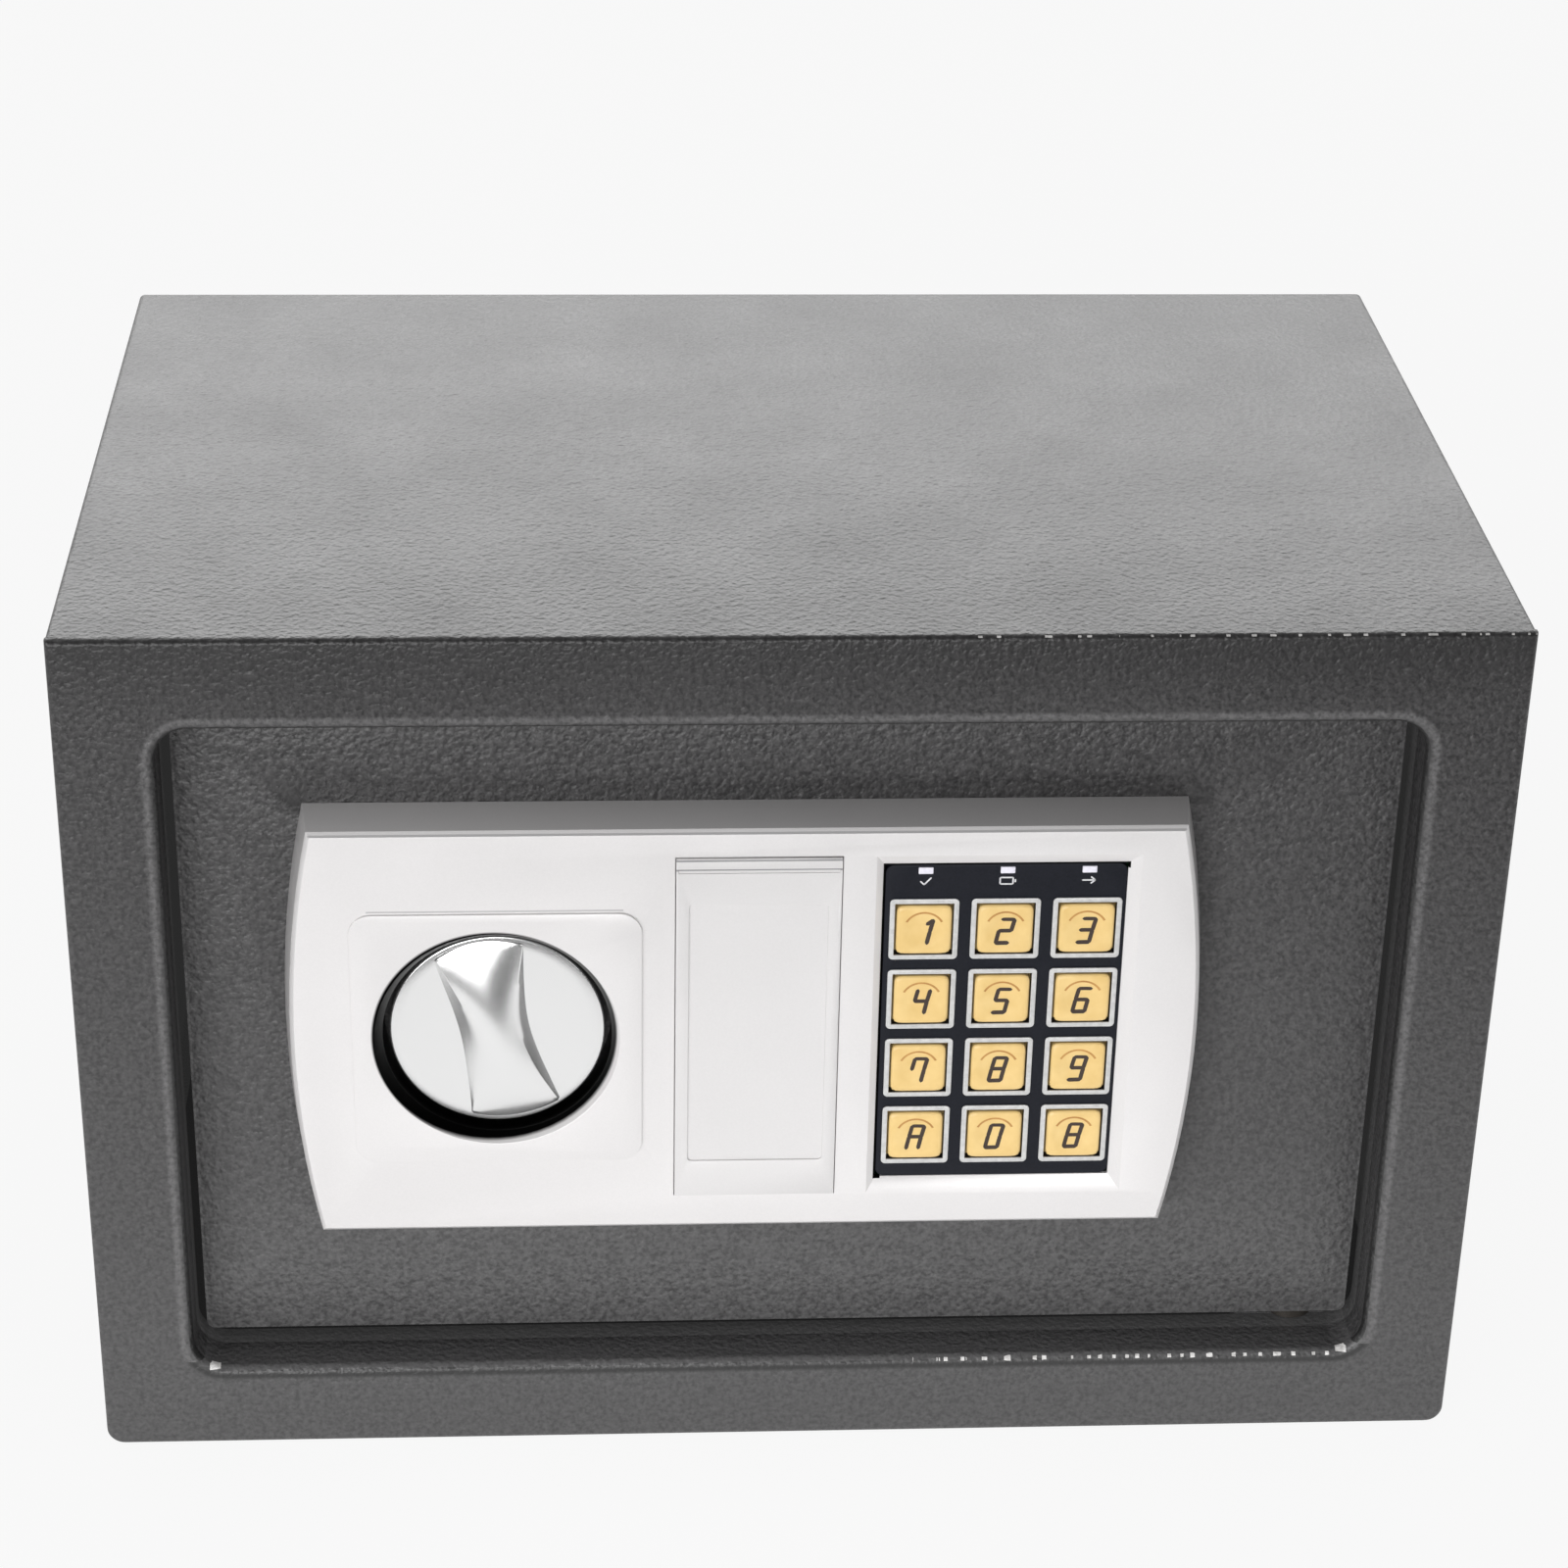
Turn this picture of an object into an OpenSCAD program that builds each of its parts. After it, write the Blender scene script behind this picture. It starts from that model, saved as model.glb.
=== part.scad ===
// Electronic safe: welded steel body, recessed side-hinged door, turn knob with crank-driven
// bolts, emergency key lock under a pull-off cover, and a recessed keypad.
// The origin is the centre of the base. X runs right, Y to the back, Z up; the front face
// of the body is the plane y = -body_d / 2. Millimetres.

/* [Body] */
// Outside width
body_w = 310; // [300:1:400]
// Outside depth
body_d = 200; // [190:1:300]
// Outside height
body_h = 205; // [200:1:260]
// Steel of the base, sides, top and back
sheet_t = 1.5; // [1:0.1:3]
// Steel of the front face
face_t = 2; // [1.5:0.1:3]
// Outside radius of the two lower edges
edge_r = 4; // [2:0.5:5]
// Width of the border round the doorway
border_w = 19; // [17:0.5:22]
// Corner radius of the doorway
doorway_r = 9; // [6:0.5:14]
// Outside radius of the bend into the doorway
bend_r = 2; // [1.5:0.25:3]
// Depth of the rolled lip, from the front face
lip_depth = 15.5; // [15:0.1:15.6]
// Thickness of the rolled lip
lip_t = 1.5; // [1:0.1:2]
// Diameter of the holes for fixing the safe down
anchor_d = 10; // [8:0.5:12]
// Distance between the two holes of each pair
anchor_pitch = 200; // [120:1:220]
// Distance of the base holes behind the middle of the body
anchor_back = 20; // [0:1:60]
// Thickness of the floor mat
mat_t = 2; // [1:0.5:4]

/* [Door] */
// How far the door lies behind the front face
door_recess = 12; // [11.5:0.1:12.5]
// Steel of the door
door_t = 3; // [2.5:0.1:3.4]
// Gap beside the door, left and right
side_gap = 2; // [1.8:0.1:3]
// Gap above and below the door
end_gap = 2.8; // [2:0.1:4]
// Diameter of the hinge pins
hinge_pin_d = 5; // [4:0.1:5.4]
// Distance of the hinge axis from the door's edge
hinge_inset = 12; // [11.5:0.1:14]
// Distance of the hinge axis behind the door's front
hinge_depth = 6.5; // [6.2:0.1:6.7]
// Thickness of the hinge lugs on the body
lug_t = 2.5; // [2:0.1:4]

/* [Front panel] */
// Width at mid height
panel_w = 198.7; // [196:0.1:202]
// Height of the panel's face
panel_h = 101.5; // [99:0.5:106]
// Panel centre left of the middle of the body
panel_left = 9.5; // [8:0.1:11]
// Panel centre above the middle of the body
panel_rise = 5.8; // [4:0.1:8]
// Radius of the two bowed ends
panel_end_r = 247; // [200:1:400]
// Panel face behind the body's front face
panel_recess = 1; // [0.8:0.1:2]
// Wall of the panel
panel_wall = 2.5; // [2:0.1:2.8]
// How much the panel widens from its face to the door, each side
panel_draft = 1.6; // [0:0.1:2]
// Chamfer round the panel's face
panel_chamfer = 1; // [0.4:0.1:1.4]

/* [Knob and bolts] */
// Knob centre left of the middle of the body
knob_left = 63.9; // [62:0.1:66]
// Knob centre below the panel's
knob_drop = 0.5; // [0:0.1:1.5]
// Diameter of the knob
knob_d = 47; // [40:0.1:48]
// Diameter of the well's mouth
well_mouth_d = 53.5; // [52:0.1:55]
// Diameter of the well's straight wall
well_d = 50; // [49.4:0.1:51]
// Side of the raised square round the well
square_w = 63; // [60:0.1:66]
// How much the square is raised
square_rise = 0.7; // [0.3:0.1:0.9]
// Knob face behind the panel's face
knob_recess = 4; // [3:0.1:5]
// Height of the finger grip above the knob's face
grip_rise = 3.6; // [2:0.1:3.8]
// Width of the grip at its waist
grip_waist = 11.6; // [9:0.2:14]
// Angle by which each side of the grip flares from its waist
grip_flare = 12; // [4:1:18]
// How far the grip leans to the left at its top
grip_lean = 10.5; // [0:0.5:20]
// Diameter of the knob's shaft
shaft_d = 8; // [6:0.1:8.4]
// Distance of the crank pin from the shaft's centre
crank_r = 10; // [9.6:0.1:10.2]
// Diameter of the crank pin
crank_pin_d = 5; // [4:0.1:5.2]
// Diameter of the locking bolts
bolt_d = 14; // [12:0.1:14.2]
// Distance between the two bolts
bolt_pitch = 80; // [70:1:84]
// How far the bolts stand back from the doorway when drawn in
bolt_clear = 1.8; // [1.5:0.1:3]

/* [Keypad and lock cover] */
// Width of one key
key_w = 12; // [11:0.1:12.4]
// Distance between keys, across
key_pitch_x = 17.7; // [17:0.1:18]
// Distance between keys, upward
key_pitch_z = 17.65; // [17.2:0.05:18]
// How far a key travels
key_travel = 0.6; // [0.3:0.1:0.7]
// Outside of the light frame round a key
key_frame_w = 15; // [14.4:0.1:15.6]
// Keypad centre right of the middle of the body
pad_right = 46.1; // [45:0.1:47]
// Keypad face, width
pad_w = 52.5; // [52:0.1:54]
// Keypad face, height
pad_h = 80; // [79:0.1:81]
// Keypad centre above the panel's
pad_rise = 1.2; // [0.5:0.1:1.5]
// Keypad face behind the panel's face
pad_recess = 1.7; // [1:0.1:2]
// Width of the middle cover
cover_w = 35.6; // [34:0.1:37]
// Height of the middle cover
cover_h = 86; // [82:0.1:87]
// Middle cover centre left of the middle of the body
cover_left = 7.3; // [7:0.1:8]
// Diameter of the emergency lock's body
lock_d = 19; // [16:0.1:19.4]

/* [Hidden] */
$fn = 64;
// running clearance of a shaft or pin in its bore, on the radius
run = 0.05;
// loose clearance between pieces that pass each other
loose = 0.4;
front_y = -body_d / 2;
back_y = body_d / 2;
doorway_w = body_w - 2 * border_w;
doorway_h = body_h - 2 * border_w;
// the doorway between the straight walls of the lip
clear_w = doorway_w - 2 * bend_r;
clear_h = doorway_h - 2 * bend_r;
lip_back = front_y + lip_depth;
bend_bite = 0.2;
mid_z = body_h / 2;
mat_side = 6;
mat_front = 22;
mat_back = 3;
mat_hole_edge = 4;

door_w = clear_w - 2 * side_gap;
door_h = clear_h - 2 * end_gap;
door_front = front_y + door_recess;
door_back = door_front + door_t;
door_bottom = mid_z - door_h / 2;
door_top = mid_z + door_h / 2;
door_r = 2;

hinge_x = door_w / 2 - hinge_inset;
hinge_y = door_front + hinge_depth;
hinge_block_w = 11;
hinge_block_h = 22;
hinge_block_deep = 8;
pin_proud = 1;
lug_w = 26;
lug_top_z = mid_z + clear_h / 2 + lip_t;
lug_low_z = mid_z - clear_h / 2 - lip_t;
lug_end = hinge_y + hinge_pin_d / 2 + 5;
washer_d = 11;
washer_gap = 0.2;

panel_x = -panel_left;
panel_z = mid_z + panel_rise;
panel_front = front_y + panel_recess;
panel_t = door_front - panel_front;
boss_d = 7;
screw_d = 3;
screw_head_d = 6;
screw_head_t = 1.8;
screw_rim_t = 0.3;
screw_long = 9;
screw_bite = 2.4;
screw_side = panel_w / 2 - 9.85;
screw_rise = panel_h / 2 - 6;

knob_x = -knob_left;
knob_z = panel_z - knob_drop;
knob_face = panel_front + knob_recess;
knob_back = door_front - 1.5;
knob_t = 5.5;
bush_flange = 1;
// radius on which the grip falls away from its middle to the knob's rim
grip_reach = knob_d / 2 - 1.5;
grip_crown_r = (pow(grip_reach, 2) + pow(grip_rise, 2)) / (2 * grip_rise);
shaft_front = knob_face + 1.5;
shaft_hole_d = shaft_d + 4;
well_rim = 2.6;
well_wall = 2.5;
square_r = 5;

bolt_y = door_back + 1 + bolt_d / 2;
bolt_tip = -(clear_w / 2 - bolt_clear);
bolt_long = 26;
bolt_root = bolt_tip + bolt_long;
bolt_chamfer = 1;
spigot_d = 8;
spigot_long = 4;
carriage_t = 2;
carriage_y = bolt_y - carriage_t;
carriage_flange = 11;
carriage_lip = 4;
plate_right = knob_x - 2;
plate_half = bolt_pitch / 2 + 8;
flange_half = bolt_pitch / 2 + 9;
// the crank pin swings from 45 degrees right of upright to 45 degrees left
bolt_stroke = 2 * crank_r * sin(45);
crank_rest_x = knob_x + crank_r * sin(45);
crank_rest_z = knob_z + crank_r * cos(45);
crank_t = 3;
crank_web = 7;
crank_gap = 1.5;
crank_front = bolt_y + crank_gap;
shaft_back = crank_front + crank_t;
crank_slot_w = crank_pin_d + 3 * loose;
tail_low = knob_z - 13.2;
tail_top = knob_z + crank_r + crank_slot_w / 2 + 3.2;
guide_pin_d = 5;
guide_head_d = 9;
guide_head_t = 2;
guide_head_gap = 1.5;
guide_drop = 25;
guide_rise = bolt_pitch / 2 - (spigot_d + guide_head_d) / 2 - guide_head_gap;
// the guide pins' heads stand beside the folded edge with the bolts drawn in
guide_x = bolt_root + carriage_t + loose + guide_head_d / 2;
guide_z = [mid_z - guide_drop, mid_z + guide_rise];
guide_wall_x = -door_w / 2 + 6;
guide_wall_t = 2;
guide_wall_half = bolt_pitch / 2 + 12;
guide_wall_deep = bolt_y + bolt_d / 2 + 3;
guide_foot_w = 14;
guide_foot_t = 1.5;
guide_foot_half = 22;

// the plunger rises beside the tooth under the plate's tail, on one side of it with the
// bolts drawn in and on the other side with the bolts out
solenoid_side = 25.9;
solenoid_x = knob_x + solenoid_side;
solenoid_y = bolt_y - 0.8;
plunger_d = 4.6;
plunger_lift = 5;
plunger_long = 26;
plunger_gap = 1;
plunger_collar_d = 8;
plunger_collar_t = 1;
plunger_play = 0.6;
plunger_collar_drop = plunger_lift - 0.5;
tooth_h = plunger_lift + plunger_gap;
tooth_gap = 1.2;
tooth_left = solenoid_x + plunger_d / 2 + tooth_gap;
tooth_right = solenoid_x + bolt_stroke - plunger_d / 2 - tooth_gap;
plunger_top = tail_low - tooth_h - plunger_gap;
solenoid_h = 32;
solenoid_high = plunger_top - plunger_collar_drop - plunger_collar_t - plunger_gap;
solenoid_low = solenoid_high - solenoid_h;
solenoid_w = 24;
coil_d = 11;
coil_floor = 3;
coil_back = solenoid_y + coil_d / 2 + 1.8;
bracket_t = 1.5;

pad_z = panel_z + pad_rise;
pad_front = panel_front + pad_recess;
pad_t = 1.8;
board_t = 1.6;
pad_board_w = pad_w + 5.4;
pad_board_h = pad_h + 7.5;
mouth_left = 2;
mouth_right = 2.7;
mouth_low = 3.3;
mouth_top = 3;
cable_hole_d = 12;
key_flange_t = 0.6;
key_flange_edge = 0.9;
key_gap = 0.4;
key_play = 0.1;
key_flange_y = pad_front + pad_t + key_play;
key_proud = 0.8;
key_drop = 28.9;
key_side = 17.5;
key_low_z = pad_z - key_drop;
key_left_x = pad_right - key_side;
frame_proud = 0.4;
frame_r = 1;
key_r = 0.6;
dome_d = 8;
dome_t = 0.5;
board_front = key_flange_y + key_flange_t + key_travel + key_play + dome_t;
light_w = 3.2;
light_h = 1.6;
light_rise = 38.5;
light_z = pad_z + light_rise;
light_proud = 0.3;
pad_rim = 1;
pad_gap = 0.3;
pad_r = 2;

lock_x = -cover_left;
lock_rise = 0.2;
cover_rise = 1.1;
lock_z = panel_z + lock_rise;
cover_z = panel_z + cover_rise;
cover_seat = 1.5;
cover_proud = 0.5;
cover_gap = 0.4;
cover_field_w = 30;
cover_field_h = 65.6;
cover_field_drop = 1;
cover_field_deep = 0.5;
cover_groove_h = 0.7;
cover_groove_deep = 0.3;
cover_groove_drop = 3.2;
cover_hook_w = 14;
cover_hook_t = 1.8;
cover_hook_long = 3;
window_w = 28;
window_h = 76;
plug_d = 12;
lock_head_d = 23;
lock_head_t = 3;
lock_back = door_back + 19;
nut_w = lock_d + 7;
nut_t = 3;
plug_proud = 0.5;
key_slot_w = 2;
key_slot_h = 8;
key_slot_deep = 14;
cam_d = plug_d + 5;
cam_w = 9;
cam_long = 22;
cam_t = 2;

tray_edge = 6.5;
tray_left = -door_w / 2 + 3;
tray_right = hinge_x - hinge_block_w / 2 - 8.5;
tray_low = door_bottom + tray_edge;
tray_top = door_top - tray_edge;
tray_t = 1.2;
tray_deep = 35;
tray_back = door_back + tray_deep;
tray_inner = tray_back - tray_t;
post_x = [tray_left + 13, tray_right - 7];
post_z = [tray_low + 8, tray_top - 8];
post_d = 7;
post_thread = 10;

cell_d = 14.2;
cell_long = 50.2;
cell_cap_d = 5.5;
cell_cap_long = 1;
cell_body_long = cell_long - 2 * cell_cap_long;
cell_side = 43;
cell_rise = 4;
cell_x = tray_right - cell_side;
cell_z = mid_z + cell_rise;
cell_pitch = cell_d + 0.8;
contact_d = 9;
contact_t = 0.6;
contact_tip_d = 4;
contact_tip_long = 3;
holder_w = 60;
holder_h = 64;
holder_t = 1.6;
holder_deep = 18;
holder_gap = 0.2;
holder_back = tray_inner - holder_gap;
lid_t = 2;
lid_gap = 0.2;
lid_r = 3;
window_in_w = holder_w - 4;
window_in_h = holder_h - 4;
control_w = 66;
control_h = 78;
control_front = door_back + 5;
spacer_d = 6;
spacer_inset = 4;
reset_side = 18;
reset_drop = 20;
reset_x = tray_right - reset_side;
reset_z = tray_top - reset_drop;
reset_d = 7;
reset_flange_d = 10;
reset_travel = 1.5;

// which node to draw, "all" for the whole safe

// Helpers

// a flat shape drawn in x and z, made solid from y0 back to y1
module slab_y(y0, y1) {
    translate([0, y1, 0])
        rotate([90, 0, 0])
            linear_extrude(y1 - y0)
                children();
}

// a round bar along Y
module rod_y(x, z, d, y0, y1) {
    translate([x, y1, z])
        rotate([90, 0, 0])
            cylinder(d = d, h = y1 - y0);
}

// a round bar along X
module rod_x(y, z, d, x0, x1) {
    translate([x0, y, z])
        rotate([0, 90, 0])
            cylinder(d = d, h = x1 - x0);
}

// a box given by its two corners
module block(low, high) {
    translate(low)
        cube(high - low);
}

// the children at each of the panel's four screws
module at_panel_screws() {
    for (x = [-1, 1], z = [-1, 1])
        translate([panel_x + x * screw_side, 0, panel_z + z * screw_rise])
            children();
}

// a countersunk head let into the back of the door, wider by grow and proud of it by rise
module screw_head(grow, rise) {
    rod_y(0, 0, screw_head_d + grow, door_back - screw_rim_t, door_back + rise);
    translate([0, door_back - screw_rim_t, 0])
        rotate([90, 0, 0])
            cylinder(d1 = screw_head_d + grow, d2 = screw_d + grow, h = screw_head_t - screw_rim_t);
}

// the children at each of the inner cover's four posts
module at_posts() {
    for (x = post_x, z = post_z)
        translate([x, 0, z])
            children();
}

// a rectangle round its own centre with round corners
module round_rect(w, h, r) {
    square([w - 2 * r, h], center = true);
    square([w, h - 2 * r], center = true);
    for (x = [-1, 1], z = [-1, 1])
        translate([x * (w / 2 - r), z * (h / 2 - r)])
            circle(r);
}

// the outline of the body seen from the front: round lower edges, square upper ones
module body_outline(w, low, high, r) {
    translate([-w / 2, low + r])
        square([w, high - low - r]);
    translate([-w / 2 + r, low])
        square([w - 2 * r, high - low]);
    for (x = [-1, 1])
        translate([x * (w / 2 - r), low + r])
            circle(r);
}

// Body

module body_wrap() {
    color("dimgray")
        difference() {
            slab_y(front_y + face_t, back_y)
                difference() {
                    body_outline(body_w, 0, body_h - sheet_t, edge_r);
                    body_outline(body_w - 2 * sheet_t, sheet_t, body_h, edge_r - sheet_t);
                }
            for (x = [-1, 1])
                translate([x * anchor_pitch / 2, anchor_back, -1])
                    cylinder(d = anchor_d, h = sheet_t + 2);
        }
}

module top_plate() {
    color("gray")
        slab_y(front_y + face_t, back_y)
            translate([0, body_h - sheet_t])
                intersection() {
                    round_rect(body_w, 2 * sheet_t, sheet_t * 0.99);
                    translate([-body_w / 2, 0])
                        square([body_w, sheet_t]);
                }
}

module back_plate() {
    color("dimgray")
        difference() {
            slab_y(back_y - sheet_t, back_y)
                body_outline(body_w - 2 * sheet_t, sheet_t, body_h - sheet_t, edge_r - sheet_t);
            for (x = [-1, 1])
                rod_y(x * anchor_pitch / 2, mid_z, anchor_d, back_y - sheet_t - 1, back_y + 1);
        }
}

// the quarter round that turns the front face into the lip, with a tongue into each of them
module bend_section() {
    intersection() {
        translate([bend_r, bend_r])
            circle(bend_r);
        square([bend_r, bend_r]);
    }
    translate([bend_r - bend_bite, bend_bite])
        square([2 * bend_bite, bend_r - bend_bite]);
    translate([bend_bite, bend_r - bend_bite])
        square([lip_t - bend_bite, 2 * bend_bite]);
}

// one straight run of it
module bend_run(long) {
    translate([0, 0, -long / 2])
        linear_extrude(long)
            bend_section();
}

module bend_corner() {
    r = doorway_r - bend_r;
    rotate_extrude(angle = 90)
        translate([r, 0])
            bend_section();
}

module bend_ring() {
    straight_w = doorway_w - 2 * doorway_r;
    straight_h = doorway_h - 2 * doorway_r;
    for (side = [-1, 1]) {
        translate([side * clear_w / 2, front_y, mid_z])
            scale([side, 1, 1])
                bend_run(straight_h);
        translate([0, front_y, mid_z + side * clear_h / 2])
            scale([1, 1, side])
                rotate([0, 90, 0])
                    mirror([1, 0, 0])
                        bend_run(straight_w);
    }
    for (x = [-1, 1], z = [-1, 1])
        translate([x * straight_w / 2, front_y, mid_z + z * straight_h / 2])
            scale([x, 1, z])
                mirror([0, 1, 0])
                    rotate([90, 0, 0])
                        bend_corner();
}

module front_frame() {
    color("dimgray") {
        slab_y(front_y, front_y + face_t)
            difference() {
                body_outline(body_w, 0, body_h, edge_r);
                translate([0, mid_z])
                    round_rect(doorway_w, doorway_h, doorway_r);
            }
        bend_ring();
        slab_y(front_y + bend_r, lip_back)
            translate([0, mid_z])
                difference() {
                    round_rect(clear_w + 2 * lip_t, clear_h + 2 * lip_t,
                        doorway_r - bend_r + lip_t);
                    round_rect(clear_w, clear_h, doorway_r - bend_r);
                }
    }
}

// a lug welded outside the lip, with a step behind it that is level with the lip's inner side
module hinge_lug(low, step_low) {
    difference() {
        union() {
            block([hinge_x - lug_w / 2, front_y + face_t, low],
                [hinge_x + lug_w / 2, lug_end, low + lug_t]);
            block([hinge_x - lug_w / 2, lip_back, step_low],
                [hinge_x + lug_w / 2, lug_end, step_low + lip_t]);
        }
        translate([hinge_x, hinge_y, min(low, step_low) - 1])
            cylinder(d = hinge_pin_d + 2 * run, h = lug_t + lip_t + 2);
    }
}

module hinge_lugs() {
    color("dimgray") {
        hinge_lug(lug_top_z, lug_top_z - lip_t);
        hinge_lug(lug_low_z - lug_t, lug_low_z);
    }
}

module floor_mat() {
    color("darkslategray")
        difference() {
            block([-body_w / 2 + mat_side, front_y + mat_front, sheet_t],
                [body_w / 2 - mat_side, back_y - mat_back, sheet_t + mat_t]);
            for (x = [-1, 1])
                translate([x * anchor_pitch / 2, anchor_back, 0])
                    cylinder(d = anchor_d + mat_hole_edge, h = sheet_t + mat_t + 1);
        }
}

// Door

module door_plate() {
    color("dimgray")
        difference() {
            slab_y(door_front, door_back)
                translate([0, mid_z])
                    round_rect(door_w, door_h, door_r);
            rod_y(knob_x, knob_z, shaft_hole_d, door_front - 1, door_back + 1);
            rod_y(lock_x, lock_z, lock_d, door_front - 1, door_back + 1);
            rod_y(pad_right, pad_z, cable_hole_d, door_front - 1, door_back + 1);
            at_panel_screws() {
                rod_y(0, 0, screw_d + loose, door_front - 1, door_back + 1);
                screw_head(2 * run, 1);
            }
        }
}

module hinge_block(low) {
    difference() {
        block([hinge_x - hinge_block_w / 2, door_back, low],
            [hinge_x + hinge_block_w / 2, door_back + hinge_block_deep, low + hinge_block_h]);
        translate([hinge_x, hinge_y, low - 1])
            cylinder(d = hinge_pin_d, h = hinge_block_h + 2);
    }
}

module hinge_blocks() {
    color("gray") {
        hinge_block(door_bottom);
        hinge_block(door_top - hinge_block_h);
    }
}

module hinge_pin(low, high) {
    translate([hinge_x, hinge_y, low])
        cylinder(d = hinge_pin_d, h = high - low);
}

module hinge_pins() {
    color("silver") {
        hinge_pin(lug_low_z - lug_t - pin_proud, door_bottom + hinge_block_h);
        hinge_pin(door_top - hinge_block_h, lug_top_z + lug_t + pin_proud);
    }
}

module hinge_washer(low, high) {
    translate([hinge_x, hinge_y, low])
        difference() {
            cylinder(d = washer_d, h = high - low);
            translate([0, 0, -1])
                cylinder(d = hinge_pin_d, h = high - low + 2);
        }
}

module hinge_washers() {
    color("goldenrod") {
        hinge_washer(mid_z - clear_h / 2 + washer_gap, door_bottom);
        hinge_washer(door_top, mid_z + clear_h / 2 - washer_gap);
    }
}

// Front panel

// one bowed end of the panel, as a thin round disc far larger than the panel
module panel_disc(side, shrink) {
    reach = panel_end_r - shrink;
    translate([panel_x - side * (panel_end_r - panel_w / 2), door_front, panel_z])
        rotate([90, 0, 0])
            rotate_extrude($fn = 128)
                polygon([[0, 0], [reach + panel_draft, 0], [reach, panel_t - panel_chamfer],
                    [reach - panel_chamfer, panel_t], [0, panel_t]]);
}

// the panel's solid outline, brought in on all sides by shrink
module panel_outline(shrink) {
    half = panel_h / 2 - shrink;
    intersection() {
        translate([panel_x - panel_w / 2 - 5, 0, panel_z])
            rotate([90, 0, 90])
                linear_extrude(panel_w + 10)
                    polygon([[door_front, -half - panel_draft], [panel_front + panel_chamfer, -half],
                        [panel_front, -half + panel_chamfer], [panel_front, half - panel_chamfer],
                        [panel_front + panel_chamfer, half], [door_front, half + panel_draft]]);
        panel_disc(1, shrink);
        panel_disc(-1, shrink);
    }
}

// the sloped mouth of the keypad recess: wide at the panel's face, the pad's size below it
module pad_mouth() {
    thin = 0.01;
    left = pad_right - pad_w / 2;
    right = pad_right + pad_w / 2;
    low = pad_z - pad_h / 2;
    high = pad_z + pad_h / 2;
    hull() {
        block([left - mouth_left, panel_front - thin, low - mouth_low],
            [right + mouth_right, panel_front, high + mouth_top]);
        block([left, pad_front, low], [right, pad_front + thin, high]);
    }
}

module fascia() {
    inner_front = panel_front + panel_wall;
    color("whitesmoke")
        difference() {
            union() {
                difference() {
                    panel_outline(0);
                    intersection() {
                        panel_outline(panel_wall);
                        block([-body_w / 2, inner_front, 0],
                            [body_w / 2, door_front + 1, body_h]);
                    }
                }
                slab_y(panel_front - square_rise, panel_front + 0.5)
                    translate([knob_x, knob_z])
                        round_rect(square_w, square_w, square_r);
                rod_y(knob_x, knob_z, well_d + 2 * well_wall, inner_front - 0.5, door_front);
                at_panel_screws()
                    rod_y(0, 0, boss_d, inner_front - 0.5, door_front);
            }
            rod_y(knob_x, knob_z, well_d, front_y - 1, door_front + 1);
            translate([knob_x, panel_front - square_rise + well_rim, knob_z])
                rotate([90, 0, 0])
                    cylinder(d1 = well_d, d2 = well_mouth_d, h = well_rim);
            at_panel_screws()
                rod_y(0, 0, screw_d, door_front - screw_long + screw_bite, door_front + 1);
            slab_y(front_y - 1, panel_front + cover_seat)
                translate([lock_x, cover_z])
                    square([cover_w + cover_gap, cover_h + cover_gap], center = true);
            slab_y(front_y, inner_front + 1)
                translate([lock_x, cover_z])
                    square([window_w, window_h], center = true);
            pad_mouth();
            slab_y(pad_front - 0.1, inner_front + 1)
                translate([pad_right, pad_z])
                    square([pad_w, pad_h], center = true);
        }
}

module fascia_screws() {
    color("silver")
        at_panel_screws() {
            screw_head(0, 0);
            rod_y(0, 0, screw_d, door_back - screw_long, door_back - screw_rim_t);
        }
}

// Knob, its shaft and crank

// the outline of the grip: a bow tie pinched in its middle, cut off by the knob's round
module grip_outline() {
    waist = grip_waist / 2;
    long = knob_d / 2;
    end = waist + long * tan(grip_flare);
    intersection() {
        circle(d = knob_d - 2);
        polygon([[-waist, 0], [-end, long], [end, long], [waist, 0], [end, -long],
            [-end, -long]]);
    }
}

// the grip leans over and falls away from its middle to the rim
module grip() {
    translate([knob_x, 0, knob_z])
        rotate([0, -grip_lean, 0])
            intersection() {
                slab_y(knob_face - grip_rise, knob_face + 0.5)
                    grip_outline();
                rod_x(knob_face - grip_rise + grip_crown_r, 0, 2 * grip_crown_r,
                    -knob_d, knob_d);
            }
}

module knob() {
    color("lightgray") {
        difference() {
            union() {
                translate([knob_x, knob_face + knob_t, knob_z])
                    rotate([90, 0, 0])
                        rotate_extrude()
                            polygon([[0, 0], [knob_d / 2 - 0.6, 0], [knob_d / 2, 0.6],
                                [knob_d / 2, knob_t - 0.8], [knob_d / 2 - 0.8, knob_t],
                                [0, knob_t]]);
                rod_y(knob_x, knob_z, shaft_d + 8, knob_face + knob_t - 0.5, knob_back);
                grip();
            }
            rod_y(knob_x, knob_z, shaft_d, shaft_front, knob_back + 1);
        }
    }
}

module knob_shaft() {
    color("silver")
        rod_y(knob_x, knob_z, shaft_d, shaft_front, shaft_back);
}

module shaft_bushing() {
    color("goldenrod")
        difference() {
            union() {
                rod_y(knob_x, knob_z, shaft_hole_d, door_front, door_back);
                rod_y(knob_x, knob_z, shaft_d + 9, door_front - bush_flange, door_front);
            }
            rod_y(knob_x, knob_z, shaft_d + 2 * run, door_front - 2, door_back + 1);
        }
}

module shaft_clip() {
    color("silver")
        difference() {
            rod_y(knob_x, knob_z, shaft_d + 5, door_back + loose, door_back + loose + 0.8);
            rod_y(knob_x, knob_z, shaft_d, door_back, door_back + 2);
        }
}

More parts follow.
